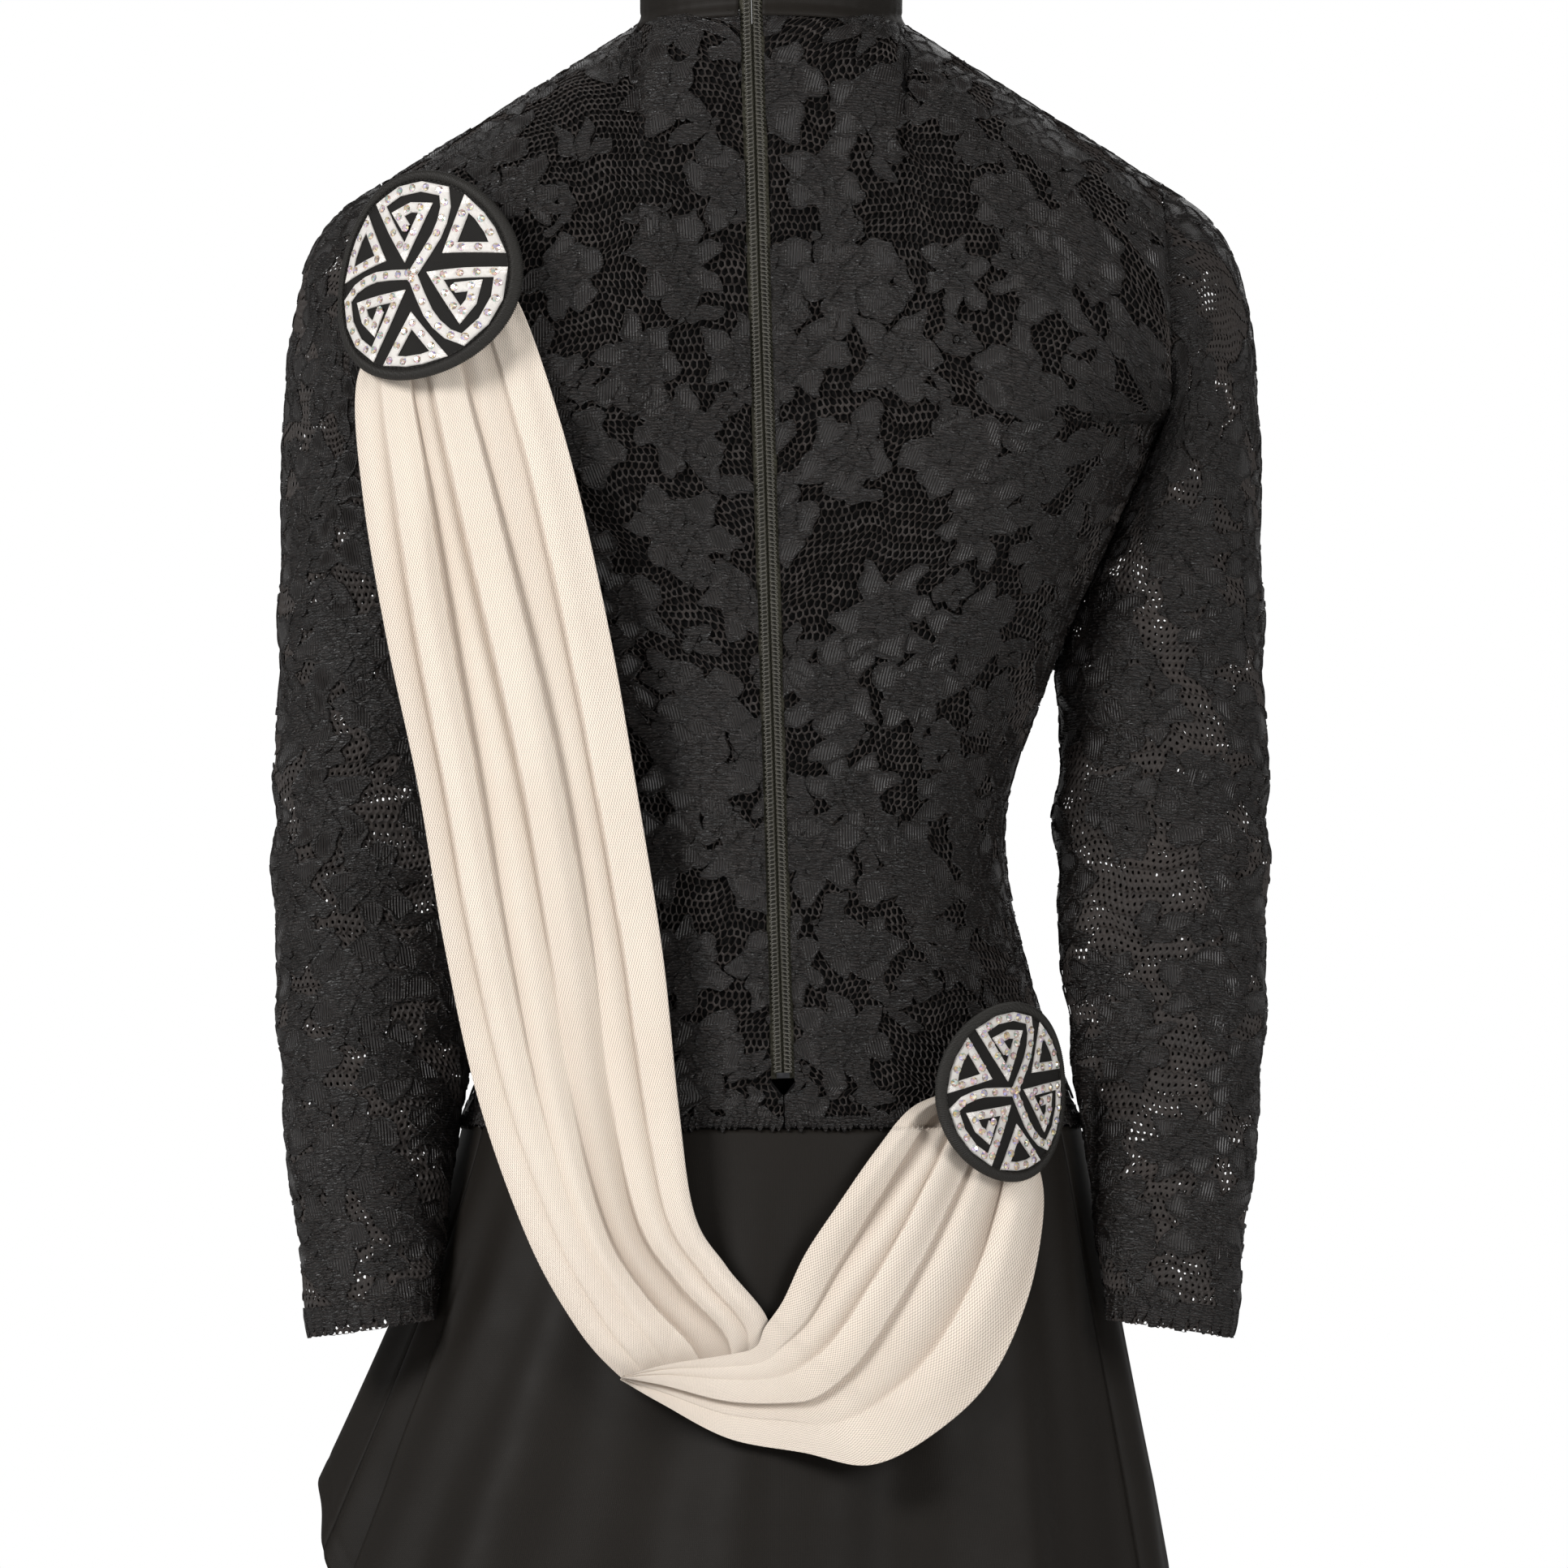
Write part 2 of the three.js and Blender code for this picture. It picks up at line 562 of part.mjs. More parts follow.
add("zip_pull", pullGeometry(), metal(0x1c1c1c), zip);

// ---- Sash ----
// Stations down the left run, round the cowl and up to the hip: outer edge x, z and inner edge x, z. x is a share
// of the shoulder's half-width, and z a share of the drop to the seam.
const sashStations = [
  [-1, -0.29, -0.724, -0.232],
  [-1.06, -0.34, -0.633, -0.271],
  [-1.04, -0.437, -0.515, -0.396],
  [-0.98, -0.562, -0.413, -0.553],
  [-0.9, -0.696, -0.342, -0.696],
  [-0.83, -0.836, -0.276, -0.843],
  [-0.745, -0.973, -0.235, -0.978],
  [-0.617, -1.098, -0.184, -1.082],
  [-0.43, -1.204, -0.082, -1.17],
  [-0.107, -1.273, -0.03, -1.221],
  [0.143, -1.289, 0.01, -1.214],
  [0.393, -1.273, 0.061, -1.171],
  [0.587, -1.207, 0.128, -1.104],
  [0.684, -1.125, 0.235, -1.039],
  [0.679, -1.057, 0.398, -0.993],
].map(([ox, oz, ix, iz]) => [ox * shoulderHalf, oz * seamDrop, ix * shoulderHalf, iz * seamDrop]);
const hangHeights = [-1.32, -1, -0.73, -0.536, -0.357, -0.286, -0.214].map((share) => share * seamDrop);
const hangOut = [23, 9, 11, 16, 18, 15, 12]; // how far the sash hangs off the centre back line
const hangDepths = hangHeights.map((z, i) => backLine(z) + hangOut[i]);

// share runs from 0 at the shoulder to 1 at the hip. The sash hangs free below the shoulder, where its
// outer edge turns round the arm, and lies on the skirt where it rises to the hip.
function sashDepth(x, z, share) {
  const turned = 0.55 * Math.max(0, -x - 0.88 * shoulderHalf) * (1 - ramp(-z, 0.27 * seamDrop, 0.68 * seamDrop));
  const hang = (through(hangHeights, hangDepths, z) - turned) * (1 - ramp(share, 0.62, 0.85));
  return Math.max(hang, backReach(x, z) + layGap);
}

function sashGeometry() {
  const last = sashStations.length - 1;
  const point = (across, step, lift) => {
    const [ox, oz, ix, iz] = sashStations[step];
    const x = mix(ox, ix, across);
    const z = mix(oz, iz, across);
    return new THREE.Vector3(x, -sashDepth(x, z, step / last) - lift, z);
  };
  const steps = spread(0, last, last).map(Math.round).reverse();
  const face = (lift) => steps.map((step) => spread(0, 1, 6).map((across) => point(across, step, lift)));
  return gridSolid(face(sashWall), face(0), false);
}
const sash = sashGeometry();
add("sash", sash, cloth(0xf0e4d8, 0.95));

// ---- Embroidered patches ----
// Points of one arm of the three-fold key: radius as a share of the patch, angle in degrees.
const armPoints = [[0, 0], [0.24, -14], [0.42, -13], [0.56, -10], [0.7, -6], [0.83, 0], [0.84, 17], [0.84, 34],
  [0.83, 51], [0.52, 50], [0.24, 44], [0.42, 20], [0.64, 11], [0.65, 25], [0.63, 39], [0.46, 32]];
const armFirst = 73.5;
const triangleRim = [65, 79, 92, 105];
const triangleInner = 83;
const strokeHalf = 0.042; // half the stitched line, as a share of the patch radius

const onPatch = (radius, r, degrees) =>
  new THREE.Vector2(radius * r * Math.cos(degrees * TURN), radius * r * Math.sin(degrees * TURN));

// A flat band of stitching along a line of points, mitred at its corners.
function strokeSolid(points, half) {
  const [left, right] = [1, -1].map((side) => points.map((p, i) => {
    const before = p.clone().sub(points[Math.max(i - 1, 0)]);
    const after = points[Math.min(i + 1, points.length - 1)].clone().sub(p);
    const a = (before.length() > 0 ? before : after).normalize();
    const b = (after.length() > 0 ? after : before).normalize();
    const bisect = new THREE.Vector2(-a.y - b.y, a.x + b.x).normalize();
    const reach = half / Math.max(0.45, bisect.dot(new THREE.Vector2(-a.y, a.x)));
    return p.clone().addScaledVector(bisect, side * reach);
  }));
  const face = (z) => points.map((_, i) => [left[i], right[i]].map((p) => new THREE.Vector3(p.x, p.y, z)));
  return gridSolid(face(stitchWall), face(0), false);
}

function motifGeometry(radius, bend) {
  const arms = [0, 120, 240].map((turn) => {
    const points = armPoints.map(([r, degrees]) => onPatch(radius, r, armFirst + turn + degrees));
    return bent(strokeSolid(points, radius * strokeHalf), bend);
  });
  const hub = new THREE.CylinderGeometry(radius * 0.06, radius * 0.06, stitchWall, 12);
  hub.rotateX(Math.PI / 2);
  hub.translate(0, 0, stitchWall / 2);
  return joined(...arms, bent(hub, bend));
}

function triangleGeometry(radius, turn) {
  const ring = (rimShare, innerShare, narrow) => [
    ...triangleRim.map((degrees) => {
      const drawnIn = mix(degrees, triangleInner, narrow);
      return onPatch(radius, rimShare, armFirst + turn + drawnIn);
    }),
    onPatch(radius, innerShare, armFirst + turn + triangleInner),
  ];
  const halved = (loop) => loop.flatMap((p, i) => [p, p.clone().lerp(loop[(i + 1) % loop.length], 0.5)]);
  const face = (z) => [ring(0.87, 0.36, 0), ring(0.785, 0.54, 0.45)].map((loop) =>
    halved(loop).map((p) => new THREE.Vector3(p.x, p.y, z)));
  return gridSolid(face(stitchWall), face(0), true);
}

function rimGeometry(radius) {
  const section = spread(0, 2 * Math.PI, 6).map((a) =>
    new THREE.Vector2(radius - rimRadius + rimRadius * Math.cos(a), rimRadius * Math.sin(a)));
  const geometry = new THREE.LatheGeometry(section, 30);
  geometry.rotateX(Math.PI / 2);
  return geometry;
}

// How far a curved patch is lifted towards -Y to clear everything that it lies on.
function seat(centre, out, across, radius, bend, lyingOn) {
  const reach = lyingOn.map((p) => {
    const from = p.clone().sub(centre);
    const height = from.dot(out);
    const sag = from.dot(across) ** 2 / (2 * bend);
    const aside = from.addScaledVector(out, -height).length();
    return aside < radius + 2 && Math.abs(height) < radius ? height + sag : -Infinity;
  });
  return Math.max(...reach) / -out.y;
}

// Points spread over the faces of the named pieces.
function pointsOn(...names) {
  const found = [];
  names.forEach((name) => {
    const { attributes, index } = dress.getObjectByName(name).geometry;
    const corner = (i) => new THREE.Vector3().fromBufferAttribute(attributes.position, index.getX(i));
    for (let i = 0; i < index.count; i += 3) {
      const [a, b, c] = [corner(i), corner(i + 1), corner(i + 2)];
      found.push(a, a.clone().lerp(b, 0.5), b.clone().lerp(c, 0.5), a.clone().add(b).add(c).divideScalar(3));
    }
  });
  return found;
}

// Curves a patch round the body, about the axis that runs up it.
function bent(geometry, bend) {
  const places = geometry.attributes.position;
  for (let i = 0; i < places.count; i += 1) {
    places.setZ(i, places.getZ(i) - places.getX(i) ** 2 / (2 * bend));
  }
  geometry.computeVertexNormals();
  return geometry;
}

function backingGeometry(radius) {
  const half = backingWall / 2;
  const shares = [0, 0.25, 0.5, 0.75, 1];
  const section = [...shares.map((r) => new THREE.Vector2(r * radius, -half)),
    ...shares.map((r) => new THREE.Vector2(r * radius, half)).reverse()];
  const geometry = new THREE.LatheGeometry(section, 30);
  geometry.rotateX(Math.PI / 2);
  return geometry;
}

// yaw turns the patch round the body and tilt leans its top towards the wearer.
function patch(name, radius, x, z, yaw, tilt, bend, lyingOn) {
  const out = new THREE.Vector3(0, -1, 0)
    .applyAxisAngle(new THREE.Vector3(1, 0, 0), -tilt * TURN)
    .applyAxisAngle(new THREE.Vector3(0, 0, 1), yaw * TURN);
  const centre = new THREE.Vector3(x, -backReach(x, z), z);
  const across = new THREE.Vector3().crossVectors(new THREE.Vector3(0, 0, 1), out).normalize();
  const lift = seat(centre, out, across, radius, bend, pointsOn(...lyingOn)) + 1.5 * layGap + rimRadius;
  const up = new THREE.Vector3().crossVectors(out, across);
  const group = new THREE.Group();
  group.applyMatrix4(new THREE.Matrix4().makeBasis(across, up, out)
    .setPosition(centre.add(new THREE.Vector3(0, -lift, 0))));
  dress.add(group);
  add(name + "_backing", bent(backingGeometry(radius - 2 * rimRadius - gap), bend), cloth(0x18150f), group);
  add(name + "_rim", bent(rimGeometry(radius), bend), cloth(0x1a1814), group);
  const face = backingWall / 2 + 2 * gap; // the faceted curves need twice the usual gap
  add(name + "_motif", motifGeometry(radius, bend), cloth(0xf4e8e0, 0.5), group).position.z = face;
  ["a", "b", "c"].forEach((letter, i) => {
    const triangle = bent(triangleGeometry(radius, 120 * i), bend);
    add(name + "_triangle_" + letter, triangle, cloth(0xf4e8e0, 0.5), group).position.z = face;
  });
}
patch("shoulder_patch", shoulderPatchRadius, -0.913 * shoulderHalf, -0.239 * seamDrop, -31, 12, 85,
  ["back_lace_left", "sleeve_left", "sash"]);
patch("hip_patch", hipPatchRadius, 0.617 * shoulderHalf, -0.968 * seamDrop, 44, 0, 110,
  ["back_lace_right", "skirt_back", "skirt_side_right", "sash"]);

export default dress;
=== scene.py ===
import math

import bpy
import numpy as np
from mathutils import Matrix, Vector


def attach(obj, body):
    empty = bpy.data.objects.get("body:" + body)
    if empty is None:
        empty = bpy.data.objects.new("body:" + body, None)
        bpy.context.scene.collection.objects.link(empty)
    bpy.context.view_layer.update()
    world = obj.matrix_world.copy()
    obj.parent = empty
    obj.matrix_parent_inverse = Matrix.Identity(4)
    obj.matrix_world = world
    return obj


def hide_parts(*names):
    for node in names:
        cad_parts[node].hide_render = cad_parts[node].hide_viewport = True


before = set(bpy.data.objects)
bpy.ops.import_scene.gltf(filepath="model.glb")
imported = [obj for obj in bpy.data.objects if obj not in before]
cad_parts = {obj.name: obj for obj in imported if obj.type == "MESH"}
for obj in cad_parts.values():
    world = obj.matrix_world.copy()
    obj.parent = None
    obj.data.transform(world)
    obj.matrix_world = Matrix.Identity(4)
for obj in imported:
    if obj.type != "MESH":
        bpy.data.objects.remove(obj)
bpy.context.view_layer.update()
MM = 0.001

# ---- Sizes of the dress, the same as in the CAD model ----
SEAM_DROP = 560.0
WAIST_DROP = 410.0
BUST_DROP = 275.0
UNDERARM_DROP = 205.0
WAIST_HALF = 117.0
BUST_HALF = 165.0
UNDERARM_HALF = 202.0
SEAM_HALF = 156.0
NAPE_DEPTH = 58.0
BACK_SLOPE = 0.08
SHOULDER_BLADE = 24.0
BLADE_DROP = 175.0
BLADE_SPREAD = 95.0
BUST_FULL = 12.0
BUST_SPREAD = 60.0
WAIST_FRONT = 84.0
BUST_FRONT = 112.0
SEAM_FRONT = 88.0
NECK_HALF = 66.0
NECK_FRONT = 62.0
NECK_FRONT_DROP = 40.0
NECK_SIDE_DROP = 5.0
SHOULDER_HALF = 196.0
SHOULDER_DROP = 86.0
ARMHOLE_DEPTH = 57.0
COLLAR_HEIGHT = 38.0
SKIRT_SIDE_LEFT = 175.0
SKIRT_SIDE_RIGHT = 240.0
SKIRT_BACK = 290.0
SKIRT_FRONT = 215.0
FLARE_LEFT = 66.0
FLARE_RIGHT = 44.0
FLARE_BACK = 58.0
FLARE_FRONT = 42.0
FLUTE_DEPTH = 6.0
FLUTE_COUNT = 9
LAP_DEPTH = 7.0
SEAM_GAP = 0.3
ZIP_EXPOSED = 11.2
ZIP_TOP_X = -9.8
ZIP_BOTTOM_X = 6.1
ZIP_END_DROP = 535.0
CUFF_HEM = 10.0
ELBOW_STEP = 7.5  # counted in rings down the sleeve
LAST_STEP = 72.0
LAY_GAP = 2.0


# ---- Smooth curves and surfaces, on whole arrays at once ----
def mix(a, b, t):
    return a + (b - a) * t


def ramp(x, low, high):
    t = np.clip((x - low) / (high - low), 0, 1)
    return t * t * (3 - 2 * t)


def through(xs, ys, x):
    """A smooth curve through a few chosen values."""
    xs = np.asarray(xs, float)
    ys = np.asarray(ys, float)
    x = np.asarray(x, float)
    i = np.clip(np.searchsorted(xs, x, side="left") - 1, 0, len(xs) - 2)
    last = len(xs) - 1

    def slope(k):
        low = np.maximum(k - 1, 0)
        high = np.minimum(k + 1, last)
        return (ys[high] - ys[low]) / (xs[high] - xs[low])

    span = xs[i + 1] - xs[i]
    t = np.clip((x - xs[i]) / span, 0, 1)
    t2 = t * t
    t3 = t2 * t
    leaving = (2 * t3 - 3 * t2 + 1) * ys[i] + (t3 - 2 * t2 + t) * (slope(i) * span)
    return leaving + (3 * t2 - 2 * t3) * ys[i + 1] + (t3 - t2) * (slope(i + 1) * span)


def bell(x, middle, width):
    """A smooth bump, 1 high."""
    return np.exp(-(((x - middle) / width) ** 2))


def stack(*parts):
    """Arrays laid side by side as the last axis of one array."""
    return np.stack(np.broadcast_arrays(*parts), -1)


# Heights and half widths, and heights and depths of the front.
WIDTHS = np.array([
    (-SEAM_DROP, SEAM_HALF),
    (-(SEAM_DROP + WAIST_DROP) / 2, (SEAM_HALF + WAIST_HALF) / 2 - 7),
    (-WAIST_DROP, WAIST_HALF),
    (-(WAIST_DROP + BUST_DROP) / 2, (WAIST_HALF + BUST_HALF) / 2 - 5),
    (-BUST_DROP, BUST_HALF),
    (-UNDERARM_DROP, UNDERARM_HALF),
]).T
FRONTS = np.array([
    (-SEAM_DROP, SEAM_FRONT),
    (-WAIST_DROP, WAIST_FRONT),
    (-BUST_DROP, BUST_FRONT),
    (-UNDERARM_DROP, BUST_FRONT - 4),
]).T


def body_half(z):
    return through(*WIDTHS, z)


def back_line(z):
    return NAPE_DEPTH - BACK_SLOPE * z


def zip_x(z):
    return mix(ZIP_TOP_X, ZIP_BOTTOM_X, -z / ZIP_END_DROP)


def oval_depth(angle, z):
    """Depth of the body's oval below the underarm."""
    across = np.sin(2 * angle) ** 2
    front = -through(*FRONTS, z) * np.cos(angle) + BUST_FULL * bell(z, -BUST_DROP, BUST_SPREAD) * across
    blade = SHOULDER_BLADE * bell(z, -BLADE_DROP, BLADE_SPREAD)
    back = (back_line(z) + blade * across * 1.3) * np.cos(angle)
    return np.where(np.cos(angle) < 0, front, back)


def top_edge(x, front):
    """Height of the neck seam and then the shoulder seam."""
    out = np.abs(x)
    shoulder = mix(-NECK_SIDE_DROP, -SHOULDER_DROP, (out - NECK_HALF) / (SHOULDER_HALF - NECK_HALF))
    side = (out / NECK_HALF) ** 2
    neck = np.where(front, mix(-NECK_FRONT_DROP, -NECK_SIDE_DROP, side), -NECK_SIDE_DROP * side)
    return np.where(out > NECK_HALF, shoulder, neck)


def neck_depth(x, front):
    inside = np.maximum(0, 1 - (x / NECK_HALF) ** 2)
    return np.where(front, NECK_FRONT, NAPE_DEPTH) * np.sqrt(inside)


def body_point(angle, level):
    """Level runs 0 to 1 from the seam to the underarm, and 1 to 2 from there to the top edge."""
    angle, level = np.broadcast_arrays(np.asarray(angle, float), np.asarray(level, float))
    front = np.cos(angle) < 0
    facing = np.where(front, 1, -1)
    z_low = mix(-SEAM_DROP, -UNDERARM_DROP, level)
    lower = stack(body_half(z_low) * np.sin(angle), facing * oval_depth(angle, z_low), z_low)
    rise = 1 - (2 - np.clip(level, 1, 2)) ** 2
    x = mix(UNDERARM_HALF, SHOULDER_HALF, rise) * np.sin(angle)
    z = mix(-UNDERARM_DROP, top_edge(x, front), rise)
    low = oval_depth(angle, -UNDERARM_DROP)
    top = neck_depth(x, front)
    rounded = np.sqrt(np.maximum(0, 1 - rise**3))
    off = np.where(front, 1, ramp(np.abs(np.sin(angle)), 0, 0.45))
    keep = mix(1 - rise, rounded, off)
    armhole = ARMHOLE_DEPTH * np.sqrt(np.maximum(0, 4 * rise * (1 - rise))) * np.sin(angle) ** 4
    upper = stack(x, facing * (top + (low - top) * keep + armhole), z)
    return np.where((level <= 1)[..., None], lower, upper)


SLEEVE_RINGS = np.array([
    # outer x, outer z, inner x, inner z, half depth, y of the middle
    [SHOULDER_HALF, -SHOULDER_DROP, UNDERARM_HALF, -UNDERARM_DROP, ARMHOLE_DEPTH, 0],
    [215, -98, 0, -211, 58, 3],
    [231, -118, 0, -220, 57, 8],
    [240, -147, 0, -232, 55, 15],
    [245, -185, 0, -250, 52, 21],
    [247, -240, 0, -278, 48, 25],
    [248, -305, 0, -314, 45, 24],
    [250, -370, 147, -365, 41, 18],
    [250.5, -420, 145, -420, 38, 9],
    [249, -480, 148, -478, 34, -5],
    [246, -535, 154, -533, 30, -21],
    [240, -595, 162, -592, 26, -39],
    [231, -666, 169, -657, 20, -63],
])
for ring in SLEEVE_RINGS[1:7]:
    ring[2] = body_half(ring[3]) * (1 - 0.0006 * ring[5]) + LAY_GAP
SLEEVE_END = len(SLEEVE_RINGS) - 1
CUFF_START = SLEEVE_END - CUFF_HEM / LAST_STEP


def sleeve_point(side, angle, step):
    """Soft wrinkles run round the arm, deepest at the elbow."""
    angle, step = np.broadcast_arrays(np.asarray(angle, float), np.asarray(step, float))
    steps = np.arange(len(SLEEVE_RINGS))
    out_x, out_z, in_x, in_z, depth, y = [through(steps, column, step) for column in SLEEVE_RINGS.T]
    bend = 1.3 * bell(step, ELBOW_STEP, 2.6) + 0.5 * ramp(step, 9, 11.5)
    coarse = np.sin(5.3 * step + 2.1 * np.cos(angle + 0.6 * side))
    wrinkle = bend * (coarse + 0.6 * np.sin(8.7 * step - 3 * angle))
    c = np.cos(angle)
    x = (out_x + in_x) / 2 + ((out_x - in_x) / 2 + wrinkle) * c
    z = (out_z + in_z) / 2 + ((out_z - in_z) / 2) * c
    return stack(side * x, y + (depth + wrinkle) * np.sin(angle), z)


def below(z):
    return np.maximum(0, -SEAM_DROP - z)


def skirt_half(x, z):
    left = SEAM_HALF + FLARE_LEFT * (below(z) / SKIRT_SIDE_LEFT) ** 1.15
    right = SEAM_HALF + FLARE_RIGHT * (below(z) / SKIRT_SIDE_RIGHT) ** 0.9
    return np.where(np.asarray(x) < 0, left, right)


def skirt_back_line(z):
    return back_line(-SEAM_DROP) + FLARE_BACK * below(z) / SKIRT_BACK


def skirt_point(angle, share):
    """The skirt from its seam at share 0 to its hem at share 1, with the soft flutes that it hangs in."""
    angle, share = np.broadcast_arrays(np.asarray(angle, float), np.asarray(share, float))
    front = np.cos(angle) < 0
    side = np.where(np.sin(angle) < 0, SKIRT_SIDE_LEFT, SKIRT_SIDE_RIGHT)
    middle = np.where(front, SKIRT_FRONT, SKIRT_BACK)
    length = mix(side, middle, ramp(np.abs(np.cos(angle)), 0.05, 0.85))
    z = -SEAM_DROP - SEAM_GAP - share * (length - SEAM_GAP)
    fall = below(z) / SKIRT_BACK
    half = skirt_half(np.sin(angle), z)
    depth = np.where(front, SEAM_FRONT + FLARE_FRONT * below(z) / SKIRT_FRONT, skirt_back_line(z))
    grow = np.minimum(1, fall * 1.6) ** 1.5
    flute = FLUTE_DEPTH * grow * np.cos(FLUTE_COUNT * angle + 0.5 * np.sin(2 * angle))
    fine = 1.6 * np.minimum(1, fall * 3) * np.cos(23 * angle + 3 * fall)
    # A deep fold near the left side laps over its neighbour.
    lap = LAP_DEPTH * ramp(fall, 0.2, 0.6) * (ramp(angle, -1.06, -1.045) * (1 - ramp(angle, -1.04, -0.8)))
    out = flute + fine + lap
    return stack((half + out) * np.sin(angle), -(depth + out) * np.cos(angle), z)


def back_reach(x, z):
    """How far the back reaches towards -Y at a place seen from behind."""
    x, z = np.broadcast_arrays(np.asarray(x, float), np.asarray(z, float))
    share = np.clip(x / skirt_half(x, z), -1, 1)
    skirt = skirt_back_line(z) * np.sqrt(1 - share * share) + FLUTE_DEPTH
    z_body = np.clip(z, -SEAM_DROP, -UNDERARM_DROP)
    body = oval_depth(np.arcsin(np.clip(x / body_half(z_body), -1, 1)), z_body)
    rise = np.clip((z + UNDERARM_DROP) / (top_edge(x, False) + UNDERARM_DROP), 0, 1)
    angle = np.arcsin(np.clip(x / mix(UNDERARM_HALF, SHOULDER_HALF, rise), -1, 1))
    upper = -body_point(angle, 2 - np.sqrt(1 - rise))[..., 1]
    return np.where(z < -SEAM_DROP, skirt, np.where(z <= -UNDERARM_DROP, body, upper))


# ---- Meshes ----
def piece(name, points, faces, material, slot, uv=None, stands_for=(), smooth=True, shade=None):
    """A mesh that rides on the dress. faces is an array of quads or triangles, or a list of such arrays."""
    groups = faces if isinstance(faces, list) else [faces]
    corners = np.concatenate([g.ravel() for g in groups]).astype(np.int32)
    sizes = np.concatenate([np.full(len(g), g.shape[1]) for g in groups]).astype(np.int32)
    starts = np.concatenate([[0], np.cumsum(sizes)[:-1]]).astype(np.int32)
    mesh = bpy.data.meshes.new(name)
    mesh.vertices.add(len(points))
    mesh.vertices.foreach_set("co", (np.asarray(points, float) * MM).astype(np.float32).ravel())
    mesh.loops.add(len(corners))
    mesh.loops.foreach_set("vertex_index", corners)
    mesh.polygons.add(len(starts))
    mesh.polygons.foreach_set("loop_start", starts)
    mesh.update(calc_edges=True)
    if uv is not None:
        layer = mesh.uv_layers.new(name="cloth")
        layer.uv.foreach_set("vector", np.asarray(uv, np.float32)[corners].ravel())
    if shade is not None:
        colours = mesh.color_attributes.new("shade", "FLOAT_COLOR", "POINT")
        colours.data.foreach_set("color", np.asarray(shade, np.float32).ravel())
    mesh.polygons.foreach_set("use_smooth", np.full(len(starts), smooth))
    mesh.validate()
    mesh.materials.append(material)
    obj = bpy.data.objects.new(name, mesh)
    bpy.context.scene.collection.objects.link(obj)
    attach(obj, "garment")
    if stands_for:
        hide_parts(*stands_for)
    return obj


def joined(parts):
    """Joins parts that each hold some arrays by point and then their faces, which are renumbered."""
    columns = list(zip(*parts))
    starts = np.cumsum([0] + [len(points) for points in columns[0]])
    faces = [own + start for own, start in zip(columns[-1], starts)]
    return [np.concatenate(column) for column in (*columns[:-1], faces)]


def greys(values):
    """A grey shade on each point."""
    return stack(values, values, values, 1.0)


def grid_faces(rows, columns, closed=False, looped=False):
    """Quads of a grid. closed joins its last column to its first, and looped its last row to its first."""
    r = np.arange(rows if looped else rows - 1)[:, None]
    c = np.arange(columns if closed else columns - 1)[None, :]
    above = (r + 1) % rows * columns
    beside = (c + 1) % columns
    return stack(r * columns + c, r * columns + beside, above + beside, above + c).reshape(-1, 4)


def normals_of(points, closed=False):
    """Unit normals of a grid of points, rows upwards and columns to the right seen from outside."""
    if closed:
        along = np.roll(points, -1, 1) - np.roll(points, 1, 1)
    else:
        along = np.gradient(points, axis=1)
    up = np.gradient(points, axis=0)
    n = np.cross(along, up)
    return n / np.maximum(np.linalg.norm(n, axis=-1, keepdims=True), 1e-9)


def cloth_solid(name, points, wall, material, slot, uv, stands_for=(), closed=False, shade=None):
    """A sheet with two faces and turned edges. points is the outer face, rows upwards."""
    rows, columns = points.shape[:2]
    inner = points - normals_of(points, closed) * wall
    top = grid_faces(rows, columns, closed)
    count = rows * columns
    c = np.arange(columns if closed else columns - 1)
    d = (c + 1) % columns
    high = (rows - 1) * columns
    edges = [stack(c, c + count, d + count, d), stack(high + c, high + d, high + d + count, high + c + count)]
    if not closed:
        r = np.arange(rows - 1) * columns
        e = r + columns - 1
        edges.append(stack(r, r + columns, r + columns + count, r + count))
        edges.append(stack(e, e + count, e + columns + count, e + columns))
    faces = np.concatenate([top, top[:, ::-1] + count, *edges])
    both = np.concatenate([points.reshape(-1, 3), inner.reshape(-1, 3)])
    if shade is not None:
        shade = np.tile(greys(np.broadcast_to(shade, (rows, columns)).ravel()), (2, 1))
    uv = np.tile(uv.reshape(-1, 2), (2, 1))
    return piece(name, both, faces, material, slot, uv, stands_for, shade=shade)


